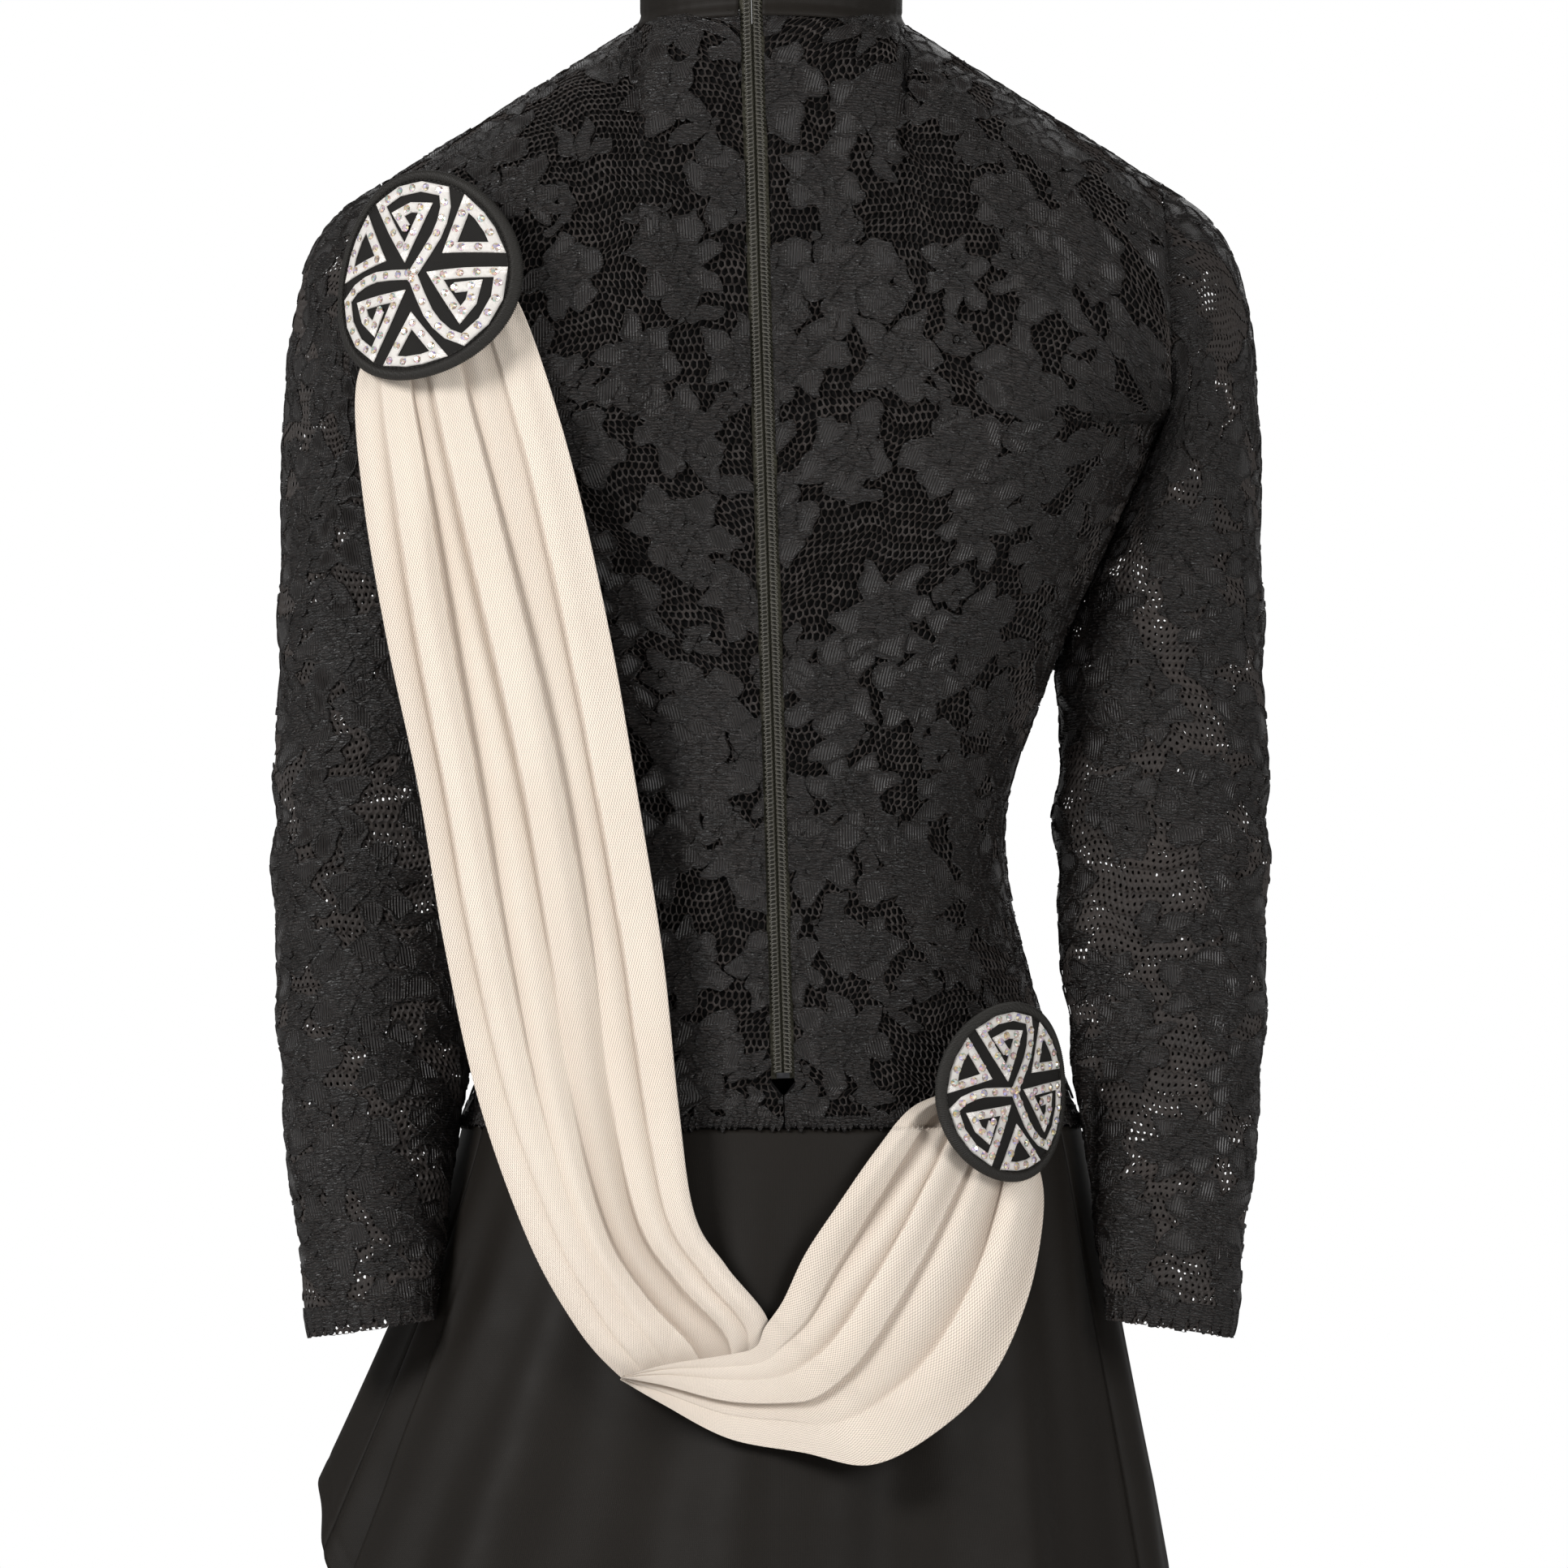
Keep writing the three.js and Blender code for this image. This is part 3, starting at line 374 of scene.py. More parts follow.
class Cloth:
    """A surface that can be drawn on in millimetres: u across from its middle and w up from its foot."""

    def __init__(self, point, a_low, a_high, b_low, b_high, columns=97, rows=121):
        self.point = point
        self.a = np.linspace(a_low, a_high, columns)
        self.b = np.linspace(b_low, b_high, rows)
        self.a_step = (self.a[-1] - self.a[0]) * 1e-3
        self.b_step = (self.b[-1] - self.b[0]) * 1e-3
        places = point(self.a[None, :], self.b[:, None])
        across = np.linalg.norm(np.diff(places, axis=1), axis=-1)
        up = np.linalg.norm(np.diff(places, axis=0), axis=-1)
        u = np.concatenate([np.zeros((rows, 1)), np.cumsum(across, 1)], 1)
        middle = columns // 2
        u = u - u[:, middle:middle + 1]
        w = np.concatenate([np.zeros((1, columns)), np.cumsum(up, 0)], 0)
        self.u_grid = np.linspace(u.min(), u.max(), 200)
        self.w_grid = np.linspace(0, w.max(), 260)
        self.a_of = np.array([np.interp(self.u_grid, u[j], self.a) for j in range(rows)])
        self.b_of = np.array([np.interp(self.w_grid, w[:, i], self.b) for i in range(columns)])
        self.size = (u.min(), u.max(), w.max())

    @staticmethod
    def table_at(table, x, y):
        x = np.clip(x, 0, table.shape[0] - 1.0001)
        y = np.clip(y, 0, table.shape[1] - 1.0001)
        i = x.astype(int)
        j = y.astype(int)
        p = x - i
        q = y - j
        low = table[i, j] * (1 - q) + table[i, j + 1] * q
        high = table[i + 1, j] * (1 - q) + table[i + 1, j + 1] * q
        return low * (1 - p) + high * p

    def params(self, u, w):
        """The surface's own coordinates at u, w, held inside its edges."""
        u_at = (u - self.u_grid[0]) / (self.u_grid[1] - self.u_grid[0])
        w_at = w / (self.w_grid[1] - self.w_grid[0])
        b = np.full(np.shape(u), self.b[len(self.b) // 2])
        for _ in range(6):
            a = self.table_at(self.a_of, (b - self.b[0]) / (self.b[1] - self.b[0]), u_at)
            b = self.table_at(self.b_of, (a - self.a[0]) / (self.a[1] - self.a[0]), w_at)
        return a, b

    def inside(self, u, w):
        a, b = self.params(u, w)
        held_a = (a > self.a[0] + self.a_step) & (a < self.a[-1] - self.a_step)
        return held_a & (b > self.b[0] + self.b_step) & (b < self.b[-1] - self.b_step)

    def place(self, u, w, lift):
        """Points at u, w, lifted off the surface."""
        a, b = self.params(u, w)
        a0, a1 = [np.clip(a + step, self.a[0], self.a[-1]) for step in (-self.a_step, self.a_step)]
        b0, b1 = [np.clip(b + step, self.b[0], self.b[-1]) for step in (-self.b_step, self.b_step)]
        n = np.cross(self.point(a1, b) - self.point(a0, b), self.point(a, b1) - self.point(a, b0))
        n /= np.maximum(np.linalg.norm(n, axis=-1, keepdims=True), 1e-9)
        return self.point(a, b) + n * np.asarray(lift)[..., None]


# ---- Materials ----
class Shader:
    """A new material, with constant values on its own sockets and short calls that add nodes to it."""

    def __init__(self, name, colour, roughness, **settings):
        self.material = bpy.data.materials.new(name)
        self.material.use_nodes = True
        self.tree = self.material.node_tree
        self.node = self.tree.nodes["Principled BSDF"]
        self.node.inputs["Base Color"].default_value = (*colour, 1)
        self.node.inputs["Roughness"].default_value = roughness
        for key, value in settings.items():
            self.node.inputs[key.replace("_", " ")].default_value = value

    def wear(self, colour, roughness, normal=None):
        """Joins the finished values to the shader, and gives back the material."""
        for key, value in (("Base Color", colour), ("Roughness", roughness), ("Normal", normal)):
            if value is not None:
                self.tree.links.new(value, self.node.inputs[key])
        return self.material

    def fill(self, socket, value):
        """Joins another node's output to a socket, or sets it to a constant."""
        if isinstance(value, bpy.types.NodeSocket):
            self.tree.links.new(value, socket)
        else:
            socket.default_value = value

    def add(self, kind, inputs=None, **settings):
        node = self.tree.nodes.new(kind)
        for key, value in settings.items():
            setattr(node, key, value)
        for key, value in (inputs or {}).items():
            self.fill(node.inputs[key], value)
        return node

    def math(self, operation, a, b=0.0, c=0.0):
        return self.add("ShaderNodeMath", {0: a, 1: b, 2: c}, operation=operation).outputs[0]

    def plus(self, a, b):
        return self.math("ADD", a, b)

    def minus(self, a, b):
        return self.math("SUBTRACT", a, b)

    def times(self, a, b):
        return self.math("MULTIPLY", a, b)

    def uv(self):
        out = self.add("ShaderNodeUVMap", uv_map="cloth").outputs[0]
        split = self.add("ShaderNodeSeparateXYZ", {0: out})
        return out, split.outputs[0], split.outputs[1]

    def place(self):
        return self.add("ShaderNodeTexCoord").outputs["Object"]

    def shade(self, output="Fac"):
        """The value painted on the mesh's own points: painted shade on the sash, painted reflection tints on
        the stones, and the mask of the ribbed windows on the lace's woven shapes.
        """
        return self.add("ShaderNodeAttribute", attribute_name="shade").outputs[output]

    def noise(self, scale, vector=None, detail=3.0):
        """Soft noise, on the object's own coordinates unless told otherwise."""
        inputs = {"Scale": scale, "Detail": detail, "Vector": self.place() if vector is None else vector}
        return self.add("ShaderNodeTexNoise", inputs).outputs[0]

    def wave(self, value, pitch):
        """0 to 1 ridges, one every pitch."""
        turn = self.times(value, 2 * math.pi / pitch)
        return self.math("POWER", self.math("MULTIPLY_ADD", self.math("SINE", turn), 0.5, 0.5), 1.0)

    def blend(self, factor, a, b):
        node = self.add("ShaderNodeMix", {0: factor}, data_type="RGBA")
        for socket, value in ((node.inputs[6], a), (node.inputs[7], b)):
            self.fill(socket, (*value, 1) if isinstance(value, tuple) else value)
        return node.outputs[2]

    def bump(self, height, distance, strength=1.0):
        inputs = {"Height": height, "Distance": distance, "Strength": strength}
        return self.add("ShaderNodeBump", inputs).outputs[0]

    def spread(self, value, low, high):
        return self.add("ShaderNodeMapRange", {0: value, 3: low, 4: high}).outputs[0]


def lace_net():
    """Twisted black thread."""
    n = Shader("lace_net", (0.012, 0.011, 0.011), 0.5, Specular_IOR_Level=0.45)
    _, u, w = n.uv()
    twist = n.wave(n.plus(u, n.times(w, 0.8)), 0.5)
    patchy = n.noise(60.0)
    colour = n.blend(patchy, (0.008, 0.006, 0.005), (0.044, 0.034, 0.0295))
    return n.wear(colour, n.spread(patchy, 0.42, 0.7), n.bump(twist, 0.0002, 0.6))


def lace_motif():
    """Close weave of short level dashes, with ribbed windows along the middle of each petal."""
    n = Shader("lace_motif", (0.016, 0.014, 0.014), 0.45, Specular_IOR_Level=0.5)
    uv, u, w = n.uv()
    stretched = n.add("ShaderNodeVectorMath", {0: uv, 1: (0.28, 1.0, 1.0)}, operation="MULTIPLY").outputs[0]
    sway = n.noise(0.9, stretched, 2.0)
    rows = n.wave(n.plus(w, n.times(sway, 3.2)), 1.7)
    dashes = n.times(rows, n.spread(n.noise(1.3, stretched), 0.1, 1.25))
    window = n.shade()
    ribs = n.times(n.times(n.wave(u, 1.5), 0.7), window)
    weave = n.plus(n.times(dashes, n.minus(1.0, window)), ribs)
    height = n.minus(weave, n.times(window, 0.6))
    cloudy = n.spread(n.noise(45.0, detail=4.0), 0.35, 1.5)
    # Painted shade: the colour is darker in the gaps between the rows of dashes and in the ribbed windows;
    # the cloudy noise is the thread's own uneven tone.
    colour = n.blend(n.times(weave, cloudy), (0.0025, 0.0018, 0.0015), (0.021, 0.0152, 0.013))
    return n.wear(colour, n.spread(n.noise(260.0), 0.25, 0.6), n.bump(height, 0.0011))


def knit(name, dark, light, roughness, pitch, specular):
    """A fine jersey: rows of small V-shaped loops."""
    n = Shader(name, light, roughness, Specular_IOR_Level=specular)
    _, u, w = n.uv()
    lean = n.times(n.math("ABSOLUTE", n.minus(n.wave(u, pitch * 2), 0.5)), pitch * 1.2)
    loops = n.wave(n.plus(w, lean), pitch)
    height = n.plus(n.times(loops, 0.5), n.times(n.wave(u, pitch), 0.5))
    colour = n.blend(n.noise(9.0, detail=4.0), dark, light)
    rough = n.spread(n.noise(40.0), roughness - 0.08, roughness + 0.1)
    return n.wear(colour, rough, n.bump(height, 0.0001, 0.5))


def power_mesh():
    """Off-white stretch mesh: rows of small round holes, half a step apart, darkened where painted shade lies
    on its points.
    """
    n = Shader("power_mesh", (0.86, 0.78, 0.7), 0.75, Sheen_Weight=0.25, Sheen_Roughness=0.5,
               Specular_IOR_Level=0.25)
    _, u, w = n.uv()
    pitch = 1.5
    row = pitch * 0.87
    shift = n.times(n.math("FLOOR", n.math("DIVIDE", w, row)), 0.5 * pitch)
    across = n.math("SINE", n.times(n.plus(u, shift), 2 * math.pi / pitch))
    product = n.times(across, n.math("SINE", n.times(w, 2 * math.pi / row)))
    hole = n.math("GREATER_THAN", product, 0.34)
    height = n.minus(1.0, n.math("MAXIMUM", product, 0.0))
    thread = n.blend(n.noise(14.0, detail=4.0), (0.8, 0.69, 0.58), (0.92, 0.825, 0.72))
    meshed = n.blend(n.times(hole, 0.8), thread, (0.34, 0.27, 0.22))
    # Painted shade: the value on the mesh's points is low in the painted shadows of the folds, and there it
    # darkens the mesh towards brown.
    colour = n.blend(n.shade(), (0.3, 0.215, 0.155), meshed)
    return n.wear(colour, n.spread(n.noise(50.0), 0.66, 0.86), n.bump(height, 0.0003, 0.7))


def woven(name, dark, light, roughness, pitch, depth, slant=1.0):
    """A twill or tape: ridges on a slant, crossed by finer ones."""
    n = Shader(name, light, roughness, Specular_IOR_Level=0.2)
    _, u, w = n.uv()
    ridge = n.wave(n.plus(w, n.times(u, slant)), pitch)
    height = n.plus(n.times(ridge, 0.7), n.times(n.wave(u, pitch * 0.6), 0.3))
    rough = n.spread(n.noise(60.0), roughness - 0.1, roughness + 0.1)
    # Painted shade: the colour is darker in the grooves between the ridges.
    return n.wear(n.blend(n.times(ridge, 0.7), dark, light), rough, n.bump(height, depth, 0.8))


def satin_stitch():
    """Glossy white thread laid side by side across the band."""
    n = Shader("satin_stitch", (0.9, 0.86, 0.82), 0.35, Specular_IOR_Level=0.6, Sheen_Weight=0.2)
    uv, u, _ = n.uv()
    threads = n.wave(n.plus(u, n.times(n.noise(0.6, uv), 0.35)), 0.42)
    # Painted shade: the colour is darker in the grooves between the threads.
    colour = n.blend(threads, (0.72, 0.67, 0.62), (0.97, 0.94, 0.9))
    return n.wear(colour, n.spread(threads, 0.5, 0.28), n.bump(threads, 0.0002, 0.9))


def merrow():
    """The thick overlocked thread of the patch's edge."""
    n = Shader("merrow", (0.02, 0.018, 0.016), 0.5, Specular_IOR_Level=0.3)
    _, u, w = n.uv()
    strands = n.wave(n.plus(w, n.times(u, 0.2)), 0.5)
    # Painted shade: the colour is darker between the strands.
    colour = n.blend(strands, (0.008, 0.0075, 0.0065), (0.035, 0.032, 0.028))
    return n.wear(colour, n.spread(n.noise(80.0), 0.4, 0.65), n.bump(strands, 0.0002, 0.7))


def crystal():
    """Cut glass with a pearly coat: each facet carries a painted reflection, a tint painted on it in place of
    what it reflects.
    """
    n = Shader("crystal", (0.9, 0.9, 0.95), 0.1, Metallic=0.5, Specular_IOR_Level=0.8, Coat_Weight=0.6,
               Coat_Roughness=0.03)
    spot = n.noise(900.0, detail=1.0)
    # The facets' painted reflection tints, lightened a little by the noise.
    colour = n.blend(n.times(spot, 0.12), n.shade("Color"), (0.95, 0.96, 1.0))
    return n.wear(colour, n.spread(spot, 0.05, 0.2))


def blackened_metal():
    n = Shader("blackened_metal", (0.05, 0.05, 0.055), 0.35, Metallic=0.9)
    worn = n.noise(300.0, detail=4.0)
    colour = n.blend(worn, (0.03, 0.03, 0.033), (0.09, 0.09, 0.095))
    return n.wear(colour, n.spread(worn, 0.22, 0.5), n.bump(worn, 0.00008, 0.4))


def coil_nylon():
    n = Shader("coil_nylon", (0.02, 0.019, 0.017), 0.34, Specular_IOR_Level=0.6)
    scuff = n.noise(200.0)
    return n.wear(n.blend(scuff, (0.03, 0.028, 0.022), (0.1, 0.094, 0.078)), n.spread(scuff, 0.3, 0.55))


NET = lace_net()
MOTIF = lace_motif()
LINING = knit("lining_knit", (0.003, 0.003, 0.003), (0.0055, 0.005, 0.005), 0.85, 0.6, 0.1)
JERSEY = knit("jersey_knit", (0.0085, 0.007, 0.0055), (0.0135, 0.011, 0.0088), 0.55, 0.7, 0.14)
MESH = power_mesh()
TAPE = woven("zip_tape_weave", (0.03, 0.028, 0.019), (0.11, 0.104, 0.074), 0.7, 0.7, 0.0002)
TWILL = woven("patch_twill", (0.006, 0.0055, 0.005), (0.022, 0.02, 0.018), 0.75, 0.9, 0.0002)
ELASTIC = woven("elastic_weave", (0.006, 0.006, 0.006), (0.02, 0.02, 0.02), 0.7, 1.0, 0.0003, 0.0)
SATIN = satin_stitch()
MERROW = merrow()
CRYSTAL = crystal()
METAL = blackened_metal()
COIL = coil_nylon()
CHAIN = woven("chain_thread", (0.05, 0.047, 0.038), (0.17, 0.16, 0.135), 0.4, 0.5, 0.0001)

# ---- Lace: an open net with woven flowers laid over it ----
CELL = 3.3  # the net's pitch across
CELL_TALL = 1.34  # how much taller than wide a cell is


def scatter(u, w, salt):
    """A repeatable value from 0 to 1 for each place."""
    value = np.sin(np.round(u, 2) * 12.9898 + np.round(w, 2) * 78.233 + salt * 37.719) * 43758.5453
    return value - np.floor(value)


def drift(u, w):
    """The rows of cells wander in shallow fans."""
    return (u + 1.5 * np.sin(w / 9 + 1.1 * np.sin(u / 31)) + 1.1 * np.sin(w / 4.3 + u / 17),
            w + 2.3 * np.sin(u / 8.5 + 1.7 * np.sin(w / 27)) + 0.9 * np.sin(u / 3.9 + w / 14))


def net_piece(name, cloth, stands_for, hole=0.76):
    """Six-sided cells. Each is a ring of thread round a hole, and every third row has a raised cord."""
    u_low, u_high, w_high = cloth.size
    w_step = CELL * CELL_TALL * math.sqrt(3) / 2
    rows = np.arange(-2, math.ceil(w_high / w_step) + 2)
    columns = np.arange(math.floor(u_low / CELL) - 2, math.ceil(u_high / CELL) + 2)
    row, column = [g.ravel() for g in np.meshgrid(rows, columns, indexing="ij")]
    u = (column + 0.5 * (row % 2)) * CELL
    w = row * w_step
    held = cloth.inside(*drift(u, w))
    u, w = u[held], w[held]
    turn = np.radians(30 + 60 * np.arange(6))
    cu = u[:, None] + CELL / math.sqrt(3) * np.cos(turn)
    cw = w[:, None] + CELL * CELL_TALL / math.sqrt(3) * np.sin(turn)
    shift_u = 0.24 * CELL * (scatter(cu, cw, 1) - 0.5)
    shift_w = 0.3 * CELL * (scatter(cu, cw, 2) - 0.5)
    cu, cw = drift(cu + shift_u, cw + shift_w)
    size = hole * (0.86 + 0.28 * scatter(u, w, 3))[:, None]
    both = [np.concatenate([c, mix(c.mean(1, keepdims=True), c, size)], 1).ravel() for c in (cu, cw)]
    corded = (np.round(w / w_step) % 3 == 0)[:, None] & (np.sin(turn) < -0.4)[None, :]
    lift = np.concatenate([np.where(corded, 1.0, 0.35), np.full(cu.shape, -0.25)], 1)
    k = np.arange(6)
    quads = stack(k, (k + 1) % 6, (k + 1) % 6 + 6, k + 6)
    faces = (quads[None] + 12 * np.arange(len(u))[:, None, None]).reshape(-1, 4)
    return piece(name, cloth.place(*both, lift.ravel()), faces, NET, "lace", stack(*both), stands_for)


PETAL_T = np.array([-1, -0.9, -0.76, -0.4, 0, 0.4, 0.76, 0.9, 1])
PETAL_H = np.array([0.0, 0.85, 0.3, 0.5, 0.32, 0.5, 0.3, 0.85, 0.0])


def petal(base, length, width, scallop=0.07, point=0.75):
    """One petal lying along +u: its places, heights with a corded edge, and the mask of its ribbed window."""
    s = np.linspace(0.015, 0.985, 10)[:, None]
    t = PETAL_T[None, :]
    half = width * np.sin(np.pi * s**point) ** 0.7 * (1 + scallop * np.abs(np.sin(3.5 * np.pi * s)))
    h = 0.1 + 1.5 * PETAL_H[None, :] * (0.4 + 0.6 * np.sin(np.pi * s))
    window = np.exp(-(((s - 0.62) / 0.2) ** 4)) * (np.abs(t) < 0.5) * (width > 6)
    return base + length * s + 0 * t, half * t, h, window


def template(parts):
    """Joins turned petals into one motif. parts holds a petal's or a boss's arrays, its turn and its lift."""
    placed = []
    for (u, w, h, window), turn, lift in parts:
        c, s = math.cos(turn), math.sin(turn)
        places = stack(u * c - w * s, u * s + w * c).reshape(-1, 2)
        # Rows run outwards and columns to the left, so the faces are turned to look up.
        placed.append((places, (h + lift).ravel(), window.ravel(), grid_faces(*u.shape)[:, ::-1]))
    return joined(placed)


def boss(radius, height):
    """A small corded dome."""
    r = np.array([0.05, 0.5, 0.75, 0.9, 1.0])[:, None] * radius
    a = np.linspace(0, 2 * np.pi, 13)[None, :]
    h = np.array([0.9, 0.5, 1.0, 0.9, 0.0])[:, None] * height + 0 * a
    return r * np.cos(a), r * np.sin(a), h, 0 * h


def blossom(petals, reach, width, inner, seed):
    """An open flower: broad uneven petals, and a smaller ring within."""
    rng = np.random.default_rng(seed)
    parts = []
    for k in range(petals):
        long = reach * rng.uniform(0.66, 0.92)
        turn = 2 * math.pi * (k + rng.uniform(-0.14, 0.14)) / petals
        parts.append((petal(reach * 0.14, long, width * rng.uniform(0.85, 1.15), 0.12), turn, 0.06 * (k % 3)))
    if inner:
        small = petal(reach * 0.05, reach * 0.4, width * 0.45)
        parts += [(small, 2 * math.pi * (k + 0.5) / petals, 0.35) for k in range(petals)]
    parts.append((boss(reach * 0.12, 0.9), 0, 0.3))
    return template(parts)


def spray(leaves, length, width):
    """Pointed leaves fanned out from a small boss."""
    parts = []
    for k in range(leaves):
        lean = k - (leaves - 1) / 2
        parts.append((petal(2, length * (1 - 0.12 * abs(lean)), width, 0.0, 1.0), lean * 0.85, 0.06 * k))
    parts.append((boss(2.2, 0.8), 0, 0.4))
    return template(parts)


BLOSSOMS = [blossom(6, 26.0, 6.8, True, 1), blossom(5, 27.0, 8.4, True, 2), blossom(7, 27.0, 6.0, True, 3)]
SPRAYS = [spray(3, 28.0, 5.4), spray(2, 31.0, 6.2), blossom(5, 13.0, 4.6, False, 4), spray(3, 23.0, 4.6)]
SPACING = 50.0
FLOWER_LIFT = 0.35


def flower_places(cloth, seed, fill):
    """Rows of (kind, u, w, turn, size): blossoms on a loose lattice, and leaves and buds in its gaps."""
    rng = np.random.default_rng(seed)
    u_low, u_high, w_high = cloth.size
    w_step = SPACING * math.sqrt(3) / 2
    gaps = ((SPACING / 2, w_step / 3, 0.5), (0, 2 * w_step / 3, 3.6))
    found = []
    for row in range(-1, math.ceil(w_high / w_step) + 2):
        for column in range(math.floor(u_low / SPACING) - 1, math.ceil(u_high / SPACING) + 2):
            u = (column + 0.5 * (row % 2)) * SPACING
            w = row * w_step
            du, dw = rng.uniform(-7.5, 7.5, 2)
            if rng.random() < 0.88:
                kind = rng.integers(3)
                found.append((kind, u + du, w + dw, rng.uniform(0, 6.28), rng.uniform(0.85, 1.25)))
            for gap_u, gap_w, turn in gaps:
                du, dw = rng.uniform(-3.5, 3.5, 2)
                if rng.random() > fill:
                    continue
                kind = 3 + rng.integers(4)
                turned = turn + rng.uniform(-0.9, 0.9)
                found.append((kind, u + gap_u + du, w + gap_w + dw, turned, rng.uniform(0.75, 0.95)))
    return found


def flower_piece(name, cloth, seed, fill=0.6):
    """The woven flowers of one cloth. Faces that lie wholly past its edges are left out."""
    kinds = BLOSSOMS + SPRAYS
    parts = []
    for kind, u, w, turn, size in flower_places(cloth, seed, fill):
        flat, heights, window, quads = kinds[kind]
        c, s = math.cos(turn) * size, math.sin(turn) * size
        x, y = flat.T
        parts.append((ragged(x * c - y * s + u, x * s + y * c + w), heights + FLOWER_LIFT, window, quads))
    at, lifts, mask, faces = joined(parts)
    faces = faces[cloth.inside(*at.T)[faces].any(1)]
    used = np.unique(faces)
    renumber = np.zeros(len(at), int)
    renumber[used] = np.arange(len(used))
    points = cloth.place(*at[used].T, lifts[used])
    return piece(name, points, renumber[faces], MOTIF, "lace", at[used], shade=greys(mask[used]))


def ragged(u, w):
    """Pulls the woven shapes out of true, so no two petals match."""
    du = 1.5 * np.sin(w / 2.3 + 1.3 * np.sin(u / 5)) + 2.2 * np.sin(w / 8.3 + u / 13)
    dw = 1.1 * np.sin(u / 1.9 + 1.7 * np.sin(w / 4.1)) + 2.0 * np.sin(u / 7.1 - w / 15)
    return stack(u + du, w + dw)


# ---- Bodice ----
SIDE = math.pi / 2 - 0.0022  # the side seam's angle, less half its gap
UNDERARM_RISE = SEAM_DROP - UNDERARM_DROP


def zip_edge(side, level, extra):
    """Angle of the lace edge beside the zip."""
    rise = np.where(level <= 1, 0, 1 - (2 - level) ** 2)
    z = np.where(level <= 1, mix(-SEAM_DROP, -UNDERARM_DROP, level), -UNDERARM_DROP * (1 - rise))
    half = np.where(level <= 1, body_half(z), mix(UNDERARM_HALF, SHOULDER_HALF, rise))
    away = mix(0.2, ZIP_EXPOSED / 2 + extra, ramp(z, -ZIP_END_DROP - 9, -ZIP_END_DROP - 4))
    return np.arcsin((zip_x(z) + side * away) / half)


def back_surface(side, extra):
    """The half back as a surface: a from 0 at the zip to 1 at the side seam, b the level."""
    def point(a, b):
        a, b = np.broadcast_arrays(a, b)
        edge = side * zip_edge(side, b, extra)
        turned = mix(edge, SIDE, a)
        return body_point(side * turned, b)

    if side > 0:
        return point
    return lambda a, b: point(-a, b)


def lace_panel(half, tail, label, surface, lining, span, columns, seed):
    """One panel of the bodice: its net, its flowers, the leaves along its seam and its lining."""
    cloth = Cloth(surface, *span, 0.001, 1.998)
    net_piece(f"{half}_net{tail}", cloth, [f"{half}_lace{tail}"])
    flower_piece(f"{half}_flowers{tail}", cloth, seed)
    foot = Cloth(surface, *span, -0.014, 0.1, rows=31)
    scallop_piece("seam_edging_" + label, foot, 11.5, 7.5, 3.1, 0.6)
    outer = lining(np.linspace(*span, columns)[None, :], np.linspace(0.001, 1.997, 90)[:, None])
    # The lining is opaque and lies just under the lace.
    points = outer - normals_of(outer) * 1.5
    node = f"{half}_lining{tail}"
    uv = points[..., [0, 2]]
    cloth_solid(node + "_cloth", points, 0.6, LINING, "lining", uv, [node])


def make_bodice():
    for label, side, seed in (("left", -1, 11), ("right", 1, 12)):
        span = (0, 1) if side > 0 else (-1, 0)
        lace_panel("back", "_" + label, label, back_surface(side, 0), back_surface(side, 1), span, 60, seed)
    lace_panel("front", "", "front", body_point, body_point, (math.pi - SIDE, math.pi + SIDE), 110, 13)


def make_stay():
    angles = np.linspace(0, 2 * math.pi, 181)[None, :-1]
    levels = np.linspace(0.002, 10 / UNDERARM_RISE, 6)[:, None]
    outer = body_point(angles, levels)
    points = outer - normals_of(outer, True) * 5.6
    uv = stack(angles * 140, levels * UNDERARM_RISE)
    cloth_solid("waist_elastic", points, 1.2, ELASTIC, "elastic", uv, ["waist_stay"], closed=True)


# ---- Collar ----
def make_collar():
    open_half = ZIP_EXPOSED / 2 + 0.3
    start = math.asin((zip_x(COLLAR_HEIGHT / 2) + open_half) / NECK_HALF)
    end = 2 * math.pi + math.asin((zip_x(COLLAR_HEIGHT / 2) - open_half) / NECK_HALF)
    angles = np.linspace(start, end, 220)[None, :]
    heights = np.linspace(-2.5, COLLAR_HEIGHT, 28)[:, None]
    front = np.cos(angles) < 0
    x = NECK_HALF * np.sin(angles)
    y = np.where(front, 1, -1) * neck_depth(x, front)
    lean = np.where(front, -0.08, BACK_SLOPE)
    grow = 0.35 * np.sin(np.pi * heights / COLLAR_HEIGHT)
    # Two rows of stitching pull the band in, one above its foot and one below its fold.
    pulled = sum(-0.35 * bell(heights, h, 0.9) for h in (5.0, COLLAR_HEIGHT - 5.0))
    ripple = 0.12 * np.sin(46 * angles) * bell(heights, 5, 4)
    out = grow + pulled + ripple + 2.4 * (1 - ramp(heights, -1.0, 4.0))
    y = y + lean * heights - out * np.cos(angles)
    points = stack(x + out * np.sin(angles), y, top_edge(x, front) + heights)
    uv = stack(angles * NECK_HALF, heights)
    cloth_solid("collar_band", points, 1.9, JERSEY, "jersey", uv, ["stand_collar"])


# ---- Sleeves ----
def sleeve_cloth(side, low_step, high_step):
    def point(a, b):
        return sleeve_point(side, side * np.asarray(a), -np.asarray(b))

    return Cloth(point, -math.pi, math.pi, -high_step, -low_step)


